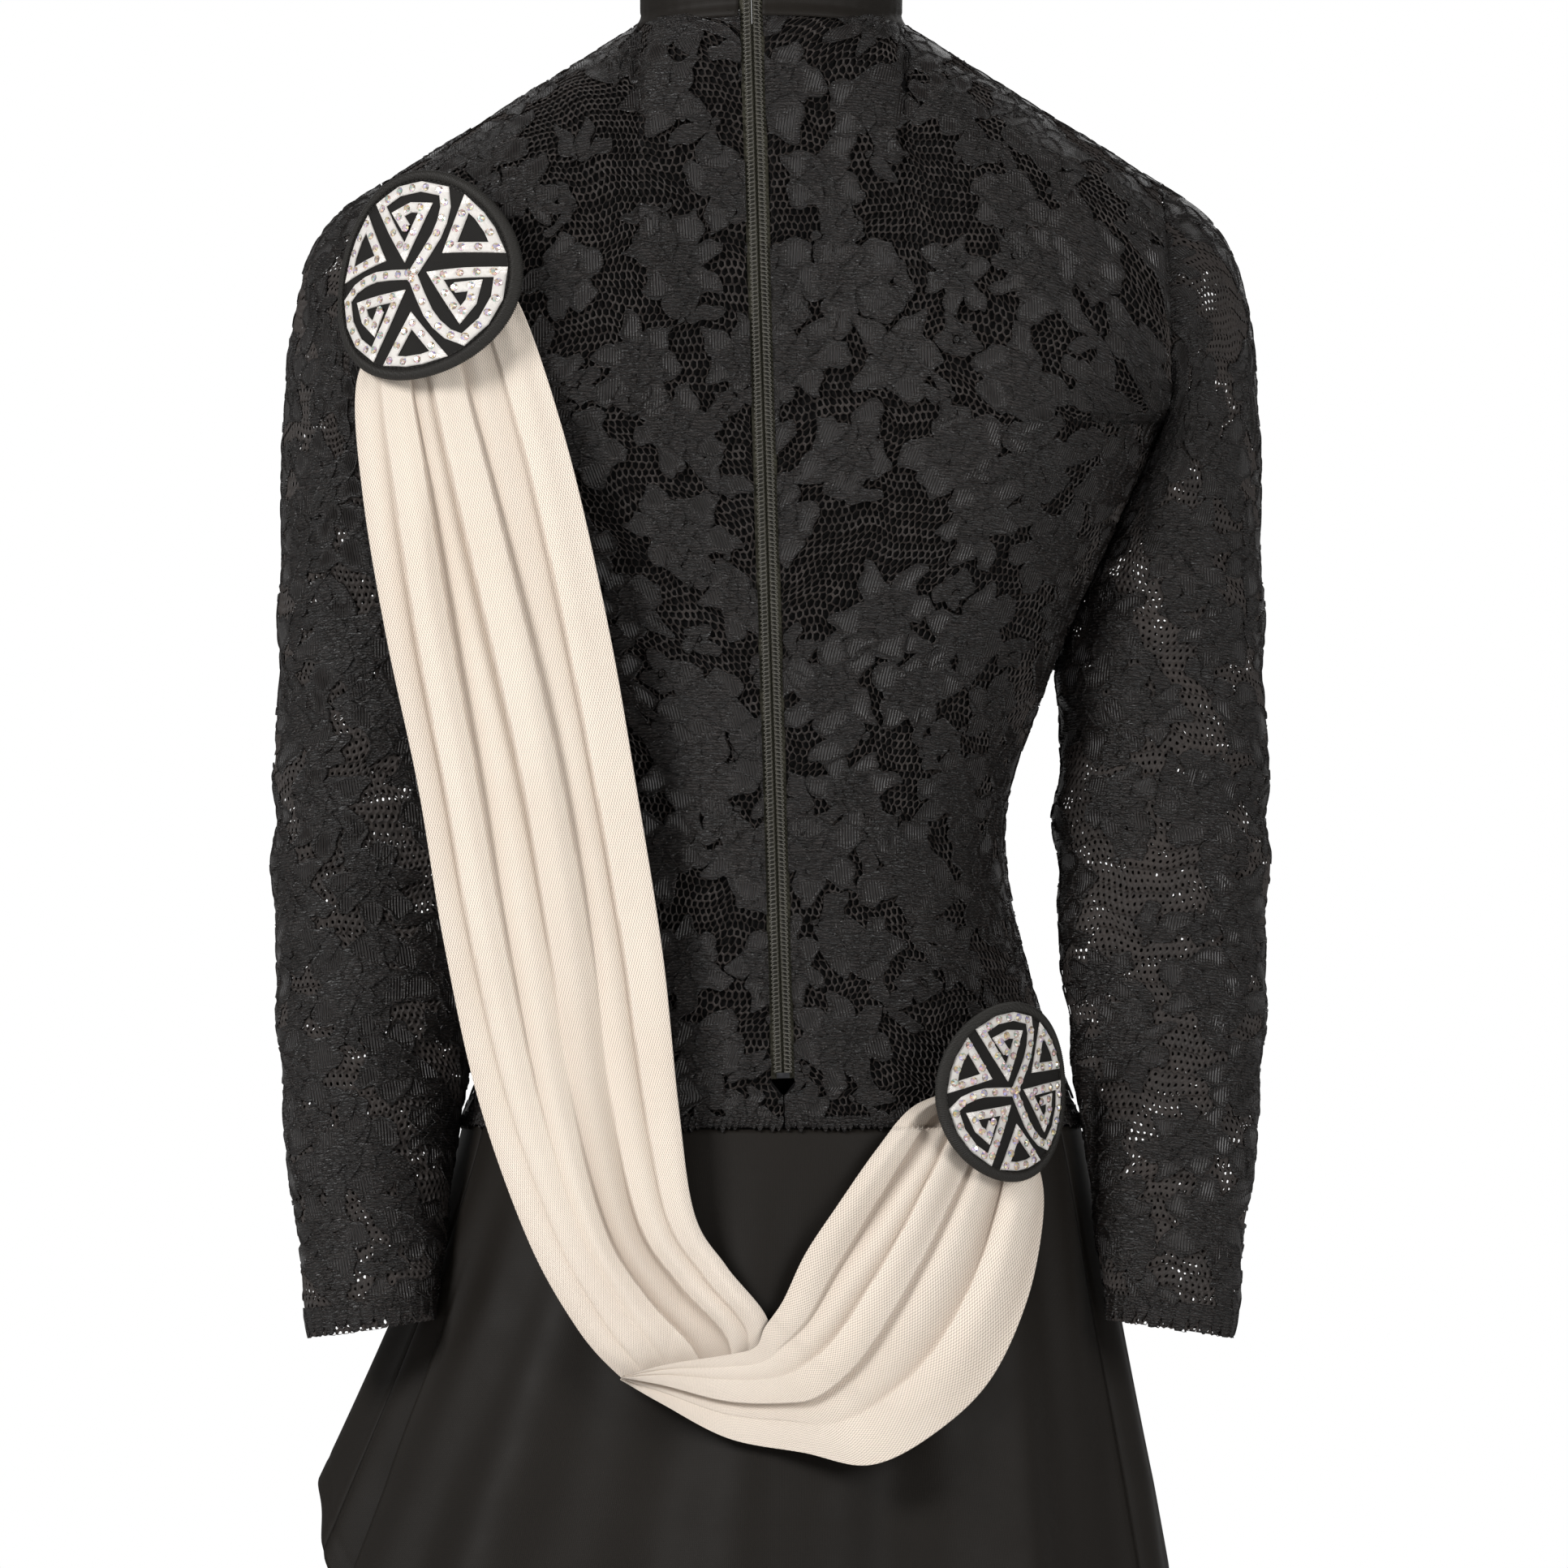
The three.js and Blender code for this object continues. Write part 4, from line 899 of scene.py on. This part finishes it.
def make_sleeves():
    for label, side, seed in (("left", -1, 21), ("right", 1, 22)):
        cloth = sleeve_cloth(side, 0.03, CUFF_START)
        net_piece("sleeve_net_" + label, cloth, ["sleeve_" + label], hole=0.38)
        flower_piece("sleeve_flowers_" + label, cloth, seed, fill=0.85)
        hem = sleeve_cloth(side, CUFF_START - 0.07, SLEEVE_END)
        net_piece("cuff_net_" + label, hem, ["cuff_hem_" + label], hole=0.5)
        scallop_piece("cuff_scallops_" + label, hem, hem.size[2] + 1, hem.size[2] + 1, 6.5, 0.4)


def scallop_piece(name, cloth, top, drop, pitch, lift):
    """Small leaves side by side with their tips down, which make an uneven lace edge."""
    u_low, u_high = cloth.size[:2]
    parts = []
    for k, u in enumerate(np.arange(u_low + pitch / 2, u_high - pitch / 3, pitch)):
        pu, pw, ph, mask = petal(0, drop * (0.8 + 0.4 * float(scatter(u, 0.0, 5))), pitch * 0.6)
        lifts = ph.ravel() + lift + 0.1 * (k % 2)
        parts.append((stack(u + pw, top - pu).reshape(-1, 2), lifts, mask.ravel(), grid_faces(*pu.shape)))
    at, lifts, mask, faces = joined(parts)
    return piece(name, cloth.place(*at.T, lifts), faces, MOTIF, "lace", at, shade=greys(mask))


# ---- Skirt ----
SIDE_SEAM = math.radians(69)
SKIRT_REACH = 160.0  # about how far the cloth is from the dress's axis
SKIRT_RUN = 230.0  # about how long it is
HEM_TURN = 14.0


def make_skirt():
    front_start, front_end = math.pi - SIDE_SEAM, math.pi + SIDE_SEAM
    panels = (
        ("skirt_back", -SIDE_SEAM, SIDE_SEAM, 240, (0.42, 0.3)),
        ("skirt_side_right", SIDE_SEAM, front_start, 70, (0.11, 0.26)),
        ("skirt_front", front_start, front_end, 240, (0.36, 0.22)),
        ("skirt_side_left", front_end, 2 * math.pi - SIDE_SEAM, 70, (0.12, 0.19)),
    )
    for node, start, end, columns, flat in panels:
        angles = np.linspace(start + 0.0002, end - 0.0002, columns)[None, :]
        # The left side panel is drawn at negative angles, where its fold is.
        wrapped = np.where(angles > math.pi + 0.01, angles - 2 * math.pi, angles)
        shares = np.linspace(1, 0.001, 90)[:, None]
        points = skirt_point(wrapped, shares)
        # The seams and the hem's stitching draw the cloth in a little.
        edge = np.minimum(angles - start, end - angles) * SKIRT_REACH
        drawn = 0.9 * bell(edge, 0, 2.2) + 0.5 * bell((1 - shares) * SKIRT_RUN, HEM_TURN, 1.3)
        points = points - normals_of(points) * drawn[..., None]
        uv = stack(angles * SKIRT_REACH, points[..., 2])
        panel = cloth_solid(node + "_cloth", points, 1.3, JERSEY, "jersey", uv, [node])


# ---- Zip ----
def zip_frame():
    start = Vector((float(zip_x(COLLAR_HEIGHT)), -float(back_line(COLLAR_HEIGHT)), COLLAR_HEIGHT))
    finish = Vector((float(zip_x(-ZIP_END_DROP)), -float(back_line(-ZIP_END_DROP)), -ZIP_END_DROP))
    down = (finish - start).normalized()
    across = down.cross(Vector((0, -1, 0))).normalized()
    out = across.cross(down)
    return start, across, down, out, (finish - start).length


ZIP_START, ZIP_ACROSS, ZIP_DOWN, ZIP_OUT, ZIP_LENGTH = zip_frame()
COIL_FOOT = -1.7
TAPE_LEVEL = COIL_FOOT - 0.6


def on_zip(x, y, z):
    """Places in the zip's own frame: x across it, y down it and z away from the back."""
    x, y, z = np.broadcast_arrays(x, y, z)
    start, across, down, out = [np.array(v) for v in (ZIP_START, ZIP_ACROSS, ZIP_DOWN, ZIP_OUT)]
    return start + x[..., None] * across + y[..., None] * down + z[..., None] * out


def tube(path, radius, sides):
    """Rings of points round a path down the zip."""
    along = np.gradient(path, axis=0)
    along /= np.linalg.norm(along, axis=1, keepdims=True)
    side = np.cross(along, np.broadcast_to(np.array(ZIP_OUT), along.shape))
    side /= np.maximum(np.linalg.norm(side, axis=1, keepdims=True), 1e-9)
    up = np.cross(side, along)
    a = np.linspace(0, 2 * np.pi, sides, endpoint=False)[None, :, None]
    return path[:, None] + radius * (np.cos(a) * side[:, None] + np.sin(a) * up[:, None])


def make_zip():
    for label, side in (("left", 1), ("right", -1)):
        x = side * np.linspace(0.08, ZIP_EXPOSED / 2 + 0.6, 14)
        y = np.linspace(ZIP_LENGTH, 0, 260)[:, None]
        # Local x points to the wearer's left, so it falls from column to column.
        x = x[None, ::side * -1]
        # A welt of double weave runs beside the coil, and a row of stitches beyond it.
        z = TAPE_LEVEL + 0.25 * bell(np.abs(x), 3.9, 0.5) - 0.12 * bell(np.abs(x), 4.6, 0.3)
        node = "zip_tape_" + label
        cloth_solid("tape_" + label, on_zip(x, y, z), 0.5, TAPE, "zip_tape", stack(x, -y), [node])
        make_coil(label, side)
    for node in ("zip_top_stop_left", "zip_top_stop_right", "zip_bottom_stop"):
        finish_metal(node, 0.25)
    finish_metal("zip_slider", 0.45)
    finish_metal("zip_pull", 0.35)


def loop_row(name, side, run, x, z, radius, material, slot, stands_for=()):
    """Thread that follows given sideways and outward paths down the zip."""
    rings = tube(on_zip(side * x, run, z), radius, 6)
    rows, columns = rings.shape[:2]
    uv = stack(np.arange(columns)[None, :], np.arange(rows)[:, None]).reshape(-1, 2) * 0.4
    faces = grid_faces(rows, columns, True)
    return piece(name, rings.reshape(-1, 3), faces, material, slot, uv, stands_for)


def make_coil(label, side):
    """A nylon coil, flattened into bars, and the chains of stitches that hold it to its tape."""
    pitch = 2.2
    start, end = 3.3, ZIP_LENGTH - 3.0
    turns = (end - start) / pitch
    phase = np.linspace(0, 2 * np.pi * turns, int(turns * 12))
    shift = 0 if side > 0 else 0.5 * pitch
    run = np.minimum(start + pitch * phase / (2 * np.pi) + shift, end)
    x = 2.4 - 1.45 * np.clip(1.35 * np.cos(phase), -1, 1)
    z = COIL_FOOT + 1.0 + 0.85 * np.sin(phase)
    loop_row("coil_" + label, side, run, x, z, 0.45, COIL, "zip_coil", ["zip_coil_" + label])
    for name, middle, sway, radius in (("inner", 1.15, 0.22, 0.2), ("outer", 3.9, 0.5, 0.3)):
        x = middle + sway * np.sin(phase)
        z = COIL_FOOT + 1.9 + 0.16 * np.cos(phase)
        loop_row(f"coil_chain_{name}_{label}", side, run, x, z, radius, CHAIN, "stitching")


def finish_metal(node, edge):
    """The CAD piece itself, with rounded edges and worn metal."""
    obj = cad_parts[node]
    bevel = obj.modifiers.new("edges", "BEVEL")
    bevel.width = edge * MM
    bevel.segments = 3
    bevel.limit_method = "ANGLE"
    obj.data.materials.clear()
    obj.data.materials.append(METAL)


# ---- Sash ----
# Each run is set by stations along it: outer edge x, z and inner edge x, z.
RUN_STATIONS = np.array([
    [-196, -162, -142, -130],
    [-208, -190, -124, -152],
    [-204, -245, -101, -222],
    [-192, -315, -81, -310],
    [-176, -390, -67, -390],
    [-163, -468, -54, -472],
    [-146, -545, -46, -548],
    [-121, -615, -38, -602],
    [-97, -658, -22, -628],
    [-77, -681, -1, -656],
    [-60, -693, -6, -684],
], float)
COWL_STATIONS = np.array([
    [-75, -684, -73, -682],
    [-54, -696, -50, -676],
    [-21, -713, -24, -672],
    [16, -720, -8, -668],
    [50, -726, -3, -658],
    [84, -709, 6, -645],
    [110, -684, 17, -622],
    [128, -646, 33, -598],
    [136, -608, 52, -571],
    [135, -583, 70, -550],
    [124, -563, 92, -541],
], float)
RUN_LENGTH = 640
SASH_WALL = 0.6
HANG_HEIGHTS = [-740, -560, -410, -300, -200, -160, -120]
HANG_DEPTHS = [140, 112, 102, 98, 92, 86, 80]


def hang_depth(x, z):
    turned = 0.55 * np.maximum(0, -x - 172) * (1 - ramp(-z, 150, 380))
    return through(HANG_HEIGHTS, HANG_DEPTHS, z) - turned


def folded(across, edges, heights, bulge):
    """The section of a folded band: level parts that overlap at crisp edges, each a little domed, and the
    painted shadow that each step casts on the lower part beside it.
    """
    height = heights[0] + 0 * across
    shadow = 0 * across
    for edge, before, level in zip(edges, heights[:-1], heights[1:]):
        height = mix(height, level, ramp(across, edge - 0.006, edge + 0.006))
        beyond = np.where(level < before, across - edge, edge - across)
        cast = np.where(beyond > -0.004, np.exp(-np.maximum(beyond, 0) / 0.045), 0)
        shadow = np.maximum(shadow, cast * np.clip(np.abs(level - before) / 3, 0, 1))
    sides = [0 * across, *edges, 1 + 0 * across]
    for low, high in zip(sides[:-1], sides[1:]):
        within = (across >= low) & (across <= high)
        dome = np.sin(np.pi * np.clip((across - low) / np.maximum(high - low, 1e-6), 0, 1))
        height = height + np.where(within, bulge * dome, 0)
    return height, shadow


def run_grid(stations, rows, columns):
    """Shares from the band's far end, at 1, to its start, shares across it, and the places x and z."""
    share = np.linspace(1, 0, rows)[:, None]
    across = np.linspace(0, 1, columns)[None, :]
    keys = np.arange(len(stations))
    ox, oz, ix, iz = [through(keys, column, share * (len(stations) - 1)) for column in stations.T]
    return share, across, mix(ox, ix, across), mix(oz, iz, across)


def sash_part(name, points, uv, light, stands_for=()):
    part = cloth_solid(name, points, SASH_WALL, MESH, "mesh", uv, stands_for, shade=light)


def make_sash_run():
    share, across, x, z = run_grid(RUN_STATIONS, 270, 170)
    grow = ramp(share, 0.04, 0.3)
    low = ramp(share, 0.3, 0.75)
    wander = 0.02 * np.sin(11 * share)
    edges = [mix(0.13, 0.16, share) + wander, 0.3 + wander, mix(0.44, 0.5, share) - wander,
             mix(0.6, 0.72, share) - wander, mix(0.78, 0.86, share)]
    edges = [e + 0 * across for e in edges]
    # Each part's level where the band starts, where it has spread, and low down.
    stages = ((1.6, 3.0, 5.5), (3.0, 7.5, 6.5), (1.2, 1.6, 6.0),
              (3.6, 9.0, 2.2), (1.6, 3.4, 5.5), (3.0, 7.5, 7.5))
    levels = [mix(mix(first, spread, grow), last, low) for first, spread, last in stages]
    lift, shadow = folded(across, edges, levels, mix(0.8, 2.8, grow))
    lift = lift * (1 - 0.9 * ramp(share, 0.84, 0.96))
    soft = 1.2 * grow * np.sin(7 * share + 9 * across) + 0.5 * np.sin(31 * across + 4 * share) * (0.4 + grow)
    gather = 0.9 * bell(share, 0, 0.12) * np.sin(58 * across)
    y = -(np.maximum(hang_depth(x, z), back_reach(x, z) + LAY_GAP) + lift + soft + gather)
    enter, leave = [ramp(across, edge - 0.01, edge + 0.01) for edge in edges[2:4]]
    # Painted light: the shadow cast at each step, weaker on the outer part low down, painted shade on the
    # band that lies lowest, between the third and fourth edges low down, and darker along the outer edge.
    recessed_band_shade = enter * (1 - leave) * low
    shadow_strength = mix(1, 0.3, low * (across < edges[2] - 0.02))
    light = 1 - 0.36 * shadow * shadow_strength - 0.22 * recessed_band_shade - 0.12 * (1 - ramp(across, 0.0, 0.08))
    uv = stack(across * 130, share * RUN_LENGTH)
    sash_part("sash_run", stack(x, y, z), uv, light, ["sash"])


def make_sash_cowl():
    share, across, x, z = run_grid(COWL_STATIONS, 220, 200)
    top = ramp(share, 0.3, 0.6)
    near = ramp(share, 0.98, 0.8)
    edges = [mix(0.26, 0.3, share) + 0.03 * np.sin(5 * share),
             mix(0.5, 0.47, share) + 0.05 * np.sin(4 + 6 * share),
             mix(0.72, 0.66, share), mix(0.86, 0.84, share)]
    edges = [e + 0 * across for e in edges]
    stages = ((4.0, 4.5), (4.4, 1.6), (8.0, 6.0), (7.4, 2.2), (7.0, 5.2))
    lift, shadow = folded(across, edges, [mix(low, high, top) for low, high in stages], mix(0.6, 2.8, top))
    lift = lift * mix(0.45, 1, near)
    fan = np.sin(24 * across + 5 * share)
    fans = 1.9 * ramp(share, 0.45, 0.8) * fan * mix(0.6, 1, near)
    gather = 1.0 * ramp(share, 0.8, 1.0) * np.sin(62 * across)
    hang = (hang_depth(x, z) + 6) * (1 - ramp(share, 0.42, 0.86))
    y = -(np.maximum(hang, back_reach(x, z) + LAY_GAP) + lift + fans + gather)
    # Painted light: the shadow cast at each step, painted shade in the hollows between the fans, and darker
    # along the inner edge.
    hollow_shade = 0.5 - 0.5 * fan
    light = 1 - 0.38 * shadow - 0.28 * hollow_shade**3 * ramp(share, 0.5, 0.85) - 0.12 * ramp(across, 0.86, 1.0)
    uv = stack(across * 110, share * 360 + RUN_LENGTH)
    sash_part("sash_cowl", stack(x, y, z), uv, light)


# ---- Patches ----
ARM_POINTS = [(0, 0), (0.24, -14), (0.42, -13), (0.56, -10), (0.7, -6), (0.83, 0), (0.84, 17), (0.84, 34),
              (0.83, 51), (0.52, 50), (0.24, 44), (0.42, 20), (0.64, 11), (0.65, 25), (0.63, 39), (0.46, 32)]
ARM_FIRST = 73.5
TRIANGLE_RIM = [65, 79, 92, 105]
TRIANGLE_INNER = 83
STROKE_HALF = 0.05


def on_patch(r, degrees):
    turn = np.radians(degrees)
    return np.stack([r * np.cos(turn), r * np.sin(turn)], -1)


def finer(points, closed, spacing):
    """Evenly spaced points along straight runs between corners."""
    points = np.asarray(points)
    if closed:
        points = np.concatenate([points, points[:1]])
    run = np.concatenate([[0], np.cumsum(np.linalg.norm(np.diff(points, axis=0), axis=1))])
    at = np.linspace(0, run[-1], max(3, int(round(run[-1] / spacing)) + 1))
    return stack(*[np.interp(at, run, column) for column in points.T])


def cornered(corners, closed, spacing):
    """Points along straight runs, each with the sideways step that keeps a band's corners sharp."""
    corners = np.asarray(corners)
    ring = np.concatenate([corners, corners[:1]]) if closed else corners
    step = np.diff(ring, axis=0)
    length = np.linalg.norm(step, axis=1, keepdims=True)
    side = np.stack([-step[:, 1], step[:, 0]], -1) / length
    before = np.concatenate([side[-1:] if closed else side[:1], side])
    after = np.concatenate([side, side[:1] if closed else side[-1:]])
    mitre = (before + after) / np.maximum(1 + (before * after).sum(1, keepdims=True), 0.42)
    points, sides = [ring[:1]], [mitre[:1]]
    for k in range(len(side)):
        count = max(1, round(float(length[k, 0]) / spacing))
        share = np.arange(1, count + 1)[:, None] / count
        points.append(mix(ring[k], ring[k + 1], share))
        sides.append(np.where(share < 1, side[k], mitre[k + 1]))
    points = np.concatenate(points)
    along = np.concatenate([[0], np.cumsum(np.linalg.norm(np.diff(points, axis=0), axis=1))])
    return points, along, np.concatenate(sides)


def band(points, along, half, height, base, side=None):
    """A raised satin band: a rounded strip round a line of flat points, built row by row."""
    if side is None:
        step = np.gradient(points, axis=0)
        step /= np.maximum(np.linalg.norm(step, axis=1, keepdims=True), 1e-9)
        side = stack(-step[:, 1], step[:, 0])
    t = np.array([-1, -0.96, -0.8, -0.45, 0, 0.45, 0.8, 0.96, 1])
    h = height * np.array([0, 0.45, 0.8, 0.96, 1, 0.96, 0.8, 0.45, 0])
    flat = points[:, None] + (half * t)[None, :, None] * side[:, None]
    places = stack(flat[..., 0], flat[..., 1], (base + h)[None, :]).reshape(-1, 3)
    uv = stack(along[:, None], (half * t)[None, :]).reshape(-1, 2)
    return places, uv, grid_faces(*flat.shape[:2])[:, ::-1]


def gem(radius, height):
    """A flat-backed stone: a table, star and crown facets and a girdle, with corners that none share."""
    def ring(first, reach, level):
        turn = np.radians(first + 45 * np.arange(8))
        return stack(reach * np.cos(turn), reach * np.sin(turn), level)

    girdle = ring(22.5, radius, 0.35 * height)
    foot = girdle * [0.96, 0.96, 0]
    points = np.concatenate([ring(0, 0.5 * radius, height), girdle, foot, [[0, 0, height]]])
    k = np.arange(8)
    j = (k + 1) % 8
    facets = ((24, k, j), (k, k + 8, j), (j, k + 8, j + 8), (k + 8, k + 16, j + 16), (k + 8, j + 16, j + 8))
    corners = points[np.concatenate([stack(*facet) for facet in facets])].reshape(-1, 3)
    return corners, np.arange(len(corners)).reshape(-1, 3)


def bend_and_place(local, spot, basis, bend):
    """Curves a patch's points about its upright axis and puts them on the dress."""
    local = np.array(local, float)
    local[:, 2] -= local[:, 0] ** 2 / (2 * bend)
    return np.array(spot) + local @ np.array(basis)


# Painted reflection: tints painted on the stones' facets in place of the colours they reflect.
FACET_REFLECTION_TINTS = np.array([
    (0.62, 0.42, 0.32), (0.8, 0.6, 0.25), (0.45, 0.42, 0.75), (0.95, 0.85, 0.5), (0.4, 0.6, 0.5),
    (0.98, 0.95, 0.9), (0.8, 0.45, 0.45), (0.3, 0.22, 0.16), (0.45, 0.33, 0.24), (0.85, 0.62, 0.8),
])
PATCH_FACE = 0.8
BAND_HEIGHT = 1.15
STITCH = 2.6


def ground_cloth(radius):
    """A disc with a low pillow to it and a straight wall round its edge."""
    rings = np.linspace(0.004, 1, 26)[:, None] * (radius - 4.6)
    turn = np.linspace(0, 2 * np.pi, 97)[None, :-1]
    pillow = 0.35 * np.sin(rings * 0.9 + 2 * np.sin(3 * turn)) * (rings / radius)
    top = stack(rings * np.cos(turn), rings * np.sin(turn), PATCH_FACE - 0.45 + 0.35 * pillow)
    under = stack(top[..., 0], top[..., 1], -0.8)
    faces = grid_faces(*top.shape[:2], True)
    count = pillow.size
    lip = np.arange(count - turn.size, count)
    lip_next = np.roll(lip, -1)
    rim = stack(lip, lip + count, lip_next + count, lip_next)
    points = np.concatenate([top.reshape(-1, 3), under.reshape(-1, 3)])
    return points, points[:, :2], np.concatenate([faces[:, ::-1], faces + count, rim])


def overlocked_edge(radius):
    """A cord wrapped in thick thread."""
    wraps = round(2 * np.pi * radius / 1.15)
    around = np.linspace(0, 2 * np.pi, wraps * 5 + 1)[None, :-1]
    section = np.linspace(0, 2 * np.pi, 15)[:-1, None]
    fat = 2.55 * (1 + 0.075 * np.cos(wraps * around - 1.2 * section))
    r = radius - 2.6 + fat * np.cos(section)
    points = stack(r * np.cos(around), r * np.sin(around), fat * np.sin(section))
    uv = stack(section * 2.6, around * radius)
    return points.reshape(-1, 3), uv.reshape(-1, 2), grid_faces(*points.shape[:2], True, True)


def running_stitches(radius):
    """Two rings of stitches just inside the edge."""
    parts = []
    for reach in (radius * 0.885, radius * 0.905):
        for k in range(round(2 * np.pi * reach / STITCH)):
            turns = k * STITCH / reach + np.linspace(-0.85, 0.85, 5) / reach
            line = on_patch(reach, np.degrees(turns))
            places, _, quads = band(line, np.arange(5.0), 0.28, 0.32, PATCH_FACE - 0.35)
            parts.append((places, places[:, :2], quads))
    return joined(parts)


def satin_line(corners, closed, radius):
    line, along, side = cornered(corners, closed, 0.9)
    return band(line, along, radius * STROKE_HALF, BAND_HEIGHT, PATCH_FACE - 0.1, side)


def stones(spots, rng):
    """One stone at each spot, turned and tipped its own way, with a painted reflection tint on each facet."""
    shape, triangles = gem(2.0, 1.4)
    parts = []
    for spot in spots:
        turn = rng.uniform(0, np.pi)
        c, s = math.cos(turn), math.sin(turn)
        tipped = shape.copy()
        tipped[:, 2] += shape[:, 0] * rng.uniform(-0.12, 0.12) + shape[:, 1] * rng.uniform(-0.12, 0.12)
        tipped = tipped @ np.array([[c, s, 0], [-s, c, 0], [0, 0, 1]])
        painted_facets = FACET_REFLECTION_TINTS[rng.integers(len(FACET_REFLECTION_TINTS), size=len(triangles))]
        # Painted highlight: the table facets are lightened. Painted shade: the girdle facets are painted
        # dark.
        painted_facets[:8] = mix(painted_facets[:1], painted_facets[:8], 0.3) * 0.8 + 0.15
        painted_facets[24:] = (0.12, 0.1, 0.09)
        shade = np.repeat(np.concatenate([painted_facets, np.ones((len(painted_facets), 1))], 1), 3, 0)
        parts.append((tipped + [*spot, PATCH_FACE + 0.75], shade, triangles))
    return joined(parts)


def make_patch(name, radius, spot, basis, bend, seed):
    def show(suffix, points, uv, faces, material, slot, node=None, **looks):
        placed = bend_and_place(points, spot, basis, bend)
        piece(name + suffix, placed, faces, material, slot, uv, [name + node] if node else (), **looks)

    show("_ground", *ground_cloth(radius), TWILL, "twill", "_backing")
    show("_edge", *overlocked_edge(radius), MERROW, "merrow", "_rim")
    show("_running_stitch", *running_stitches(radius), MERROW, "stitching")

    # White satin bands with stones along them: three arms, with a triangle between each two.
    arms, spots = [], []
    for turned in (0, 120, 240):
        corners = [on_patch(radius * r, ARM_FIRST + turned + degrees) for r, degrees in ARM_POINTS]
        arms.append(satin_line(corners, False, radius))
        spots.append(finer(corners, False, radius * 0.148)[1:])
    show("_key", *joined(arms), SATIN, "stitching", "_motif")
    for letter, turned in (("a", 0), ("b", 120), ("c", 240)):
        first = ARM_FIRST + turned
        outer = [on_patch(radius * 0.828, first + mix(d, TRIANGLE_INNER, 0.12)) for d in TRIANGLE_RIM]
        corners = [*outer, on_patch(radius * 0.44, first + TRIANGLE_INNER)]
        line = satin_line(corners, True, radius)
        show("_triangle_band_" + letter, *line, SATIN, "stitching", "_triangle_" + letter)
        spots.append(finer(corners, True, radius * 0.15)[:-1])
    spots.append(np.array([on_patch(radius * 0.045, 40 + 120 * k) for k in range(3)]))
    points, shade, faces = stones(np.concatenate(spots), np.random.default_rng(seed))
    show("_stones", points, None, faces, CRYSTAL, "crystal", smooth=False, shade=shade)


make_bodice()
make_stay()
make_collar()
make_sleeves()
make_skirt()
make_zip()
make_patch("shoulder_patch", 54.0, (-178.95, -90.2, -133.84),
           [(0.8572, -0.515, 0), (0.1071, 0.1782, 0.9781), (-0.5038, -0.8384, 0.2079)], 85.0, 5)
make_patch("hip_patch", 45.0, (120.93, -91.1, -542.08),
           [(0.7193, 0.6947, 0), (0, 0, 1), (0.6947, -0.7193, 0)], 110.0, 6)
make_sash_run()
make_sash_cowl()


# ---- Floor, light and camera, in metres ----
FLOOR_HALF = 2
FLOOR_LEVEL = -0.9
CAMERA_DISTANCE = 8.0
VIEW_WIDTH = 0.7886


def in_scene(name, data):
    """A new object in the scene."""
    obj = bpy.data.objects.new(name, data)
    bpy.context.scene.collection.objects.link(obj)
    return obj


def make_floor():
    mesh = bpy.data.meshes.new("floor")
    corners = [(x * FLOOR_HALF, y * FLOOR_HALF, FLOOR_LEVEL) for x, y in ((-1, -1), (1, -1), (1, 1), (-1, 1))]
    mesh.from_pydata(corners, [], [(0, 1, 2, 3)])
    mesh.materials.append(Shader("pale_floor", (0.85, 0.85, 0.85), 0.8).material)
    in_scene("floor", mesh)


def make_world():
    """White where the camera sees it, and a softer white where it lights the dress."""
    world = bpy.data.worlds.new("studio")
    bpy.context.scene.world = world
    world.use_nodes = True
    tree = world.node_tree
    sky = tree.nodes["Background"]
    seen = tree.nodes.new("ShaderNodeBackground")
    for node, strength in ((sky, 0.26), (seen, 1.0)):
        node.inputs["Color"].default_value = (1, 1, 1, 1)
        node.inputs["Strength"].default_value = strength
    ray = tree.nodes.new("ShaderNodeLightPath")
    choose = tree.nodes.new("ShaderNodeMixShader")
    for k, out in enumerate((ray.outputs["Is Camera Ray"], sky.outputs[0], seen.outputs[0])):
        tree.links.new(out, choose.inputs[k])
    tree.links.new(choose.outputs[0], tree.nodes["World Output"].inputs[0])


def make_lights():
    """Softboxes: place, size and watts."""
    boxes = (((-1.9, -1.7, 1.0), 0.9, 66), ((1.8, -2.0, 0.3), 1.2, 34), ((0.3, 2.0, 0.9), 1.8, 14))
    for place, size, watts in boxes:
        data = bpy.data.lights.new("softbox", "AREA")
        data.energy = watts
        data.size = size
        lamp = in_scene("softbox", data)
        lamp.location = place
        lamp.rotation_euler = (Vector((0, 0, -0.4)) - Vector(place)).to_track_quat("-Z", "Y").to_euler()


def make_camera():
    data = bpy.data.cameras.new("camera")
    data.sensor_width = 36
    data.lens = 36 * CAMERA_DISTANCE / VIEW_WIDTH
    data.clip_end = 100
    camera = in_scene("camera", data)
    camera.location = (0.0065, -CAMERA_DISTANCE - 0.04, -0.3882)
    camera.rotation_euler = (math.pi / 2, 0, 0)
    bpy.context.scene.camera = camera


make_floor()
make_world()
make_lights()
make_camera()
bpy.context.scene.view_settings.view_transform = "Standard"
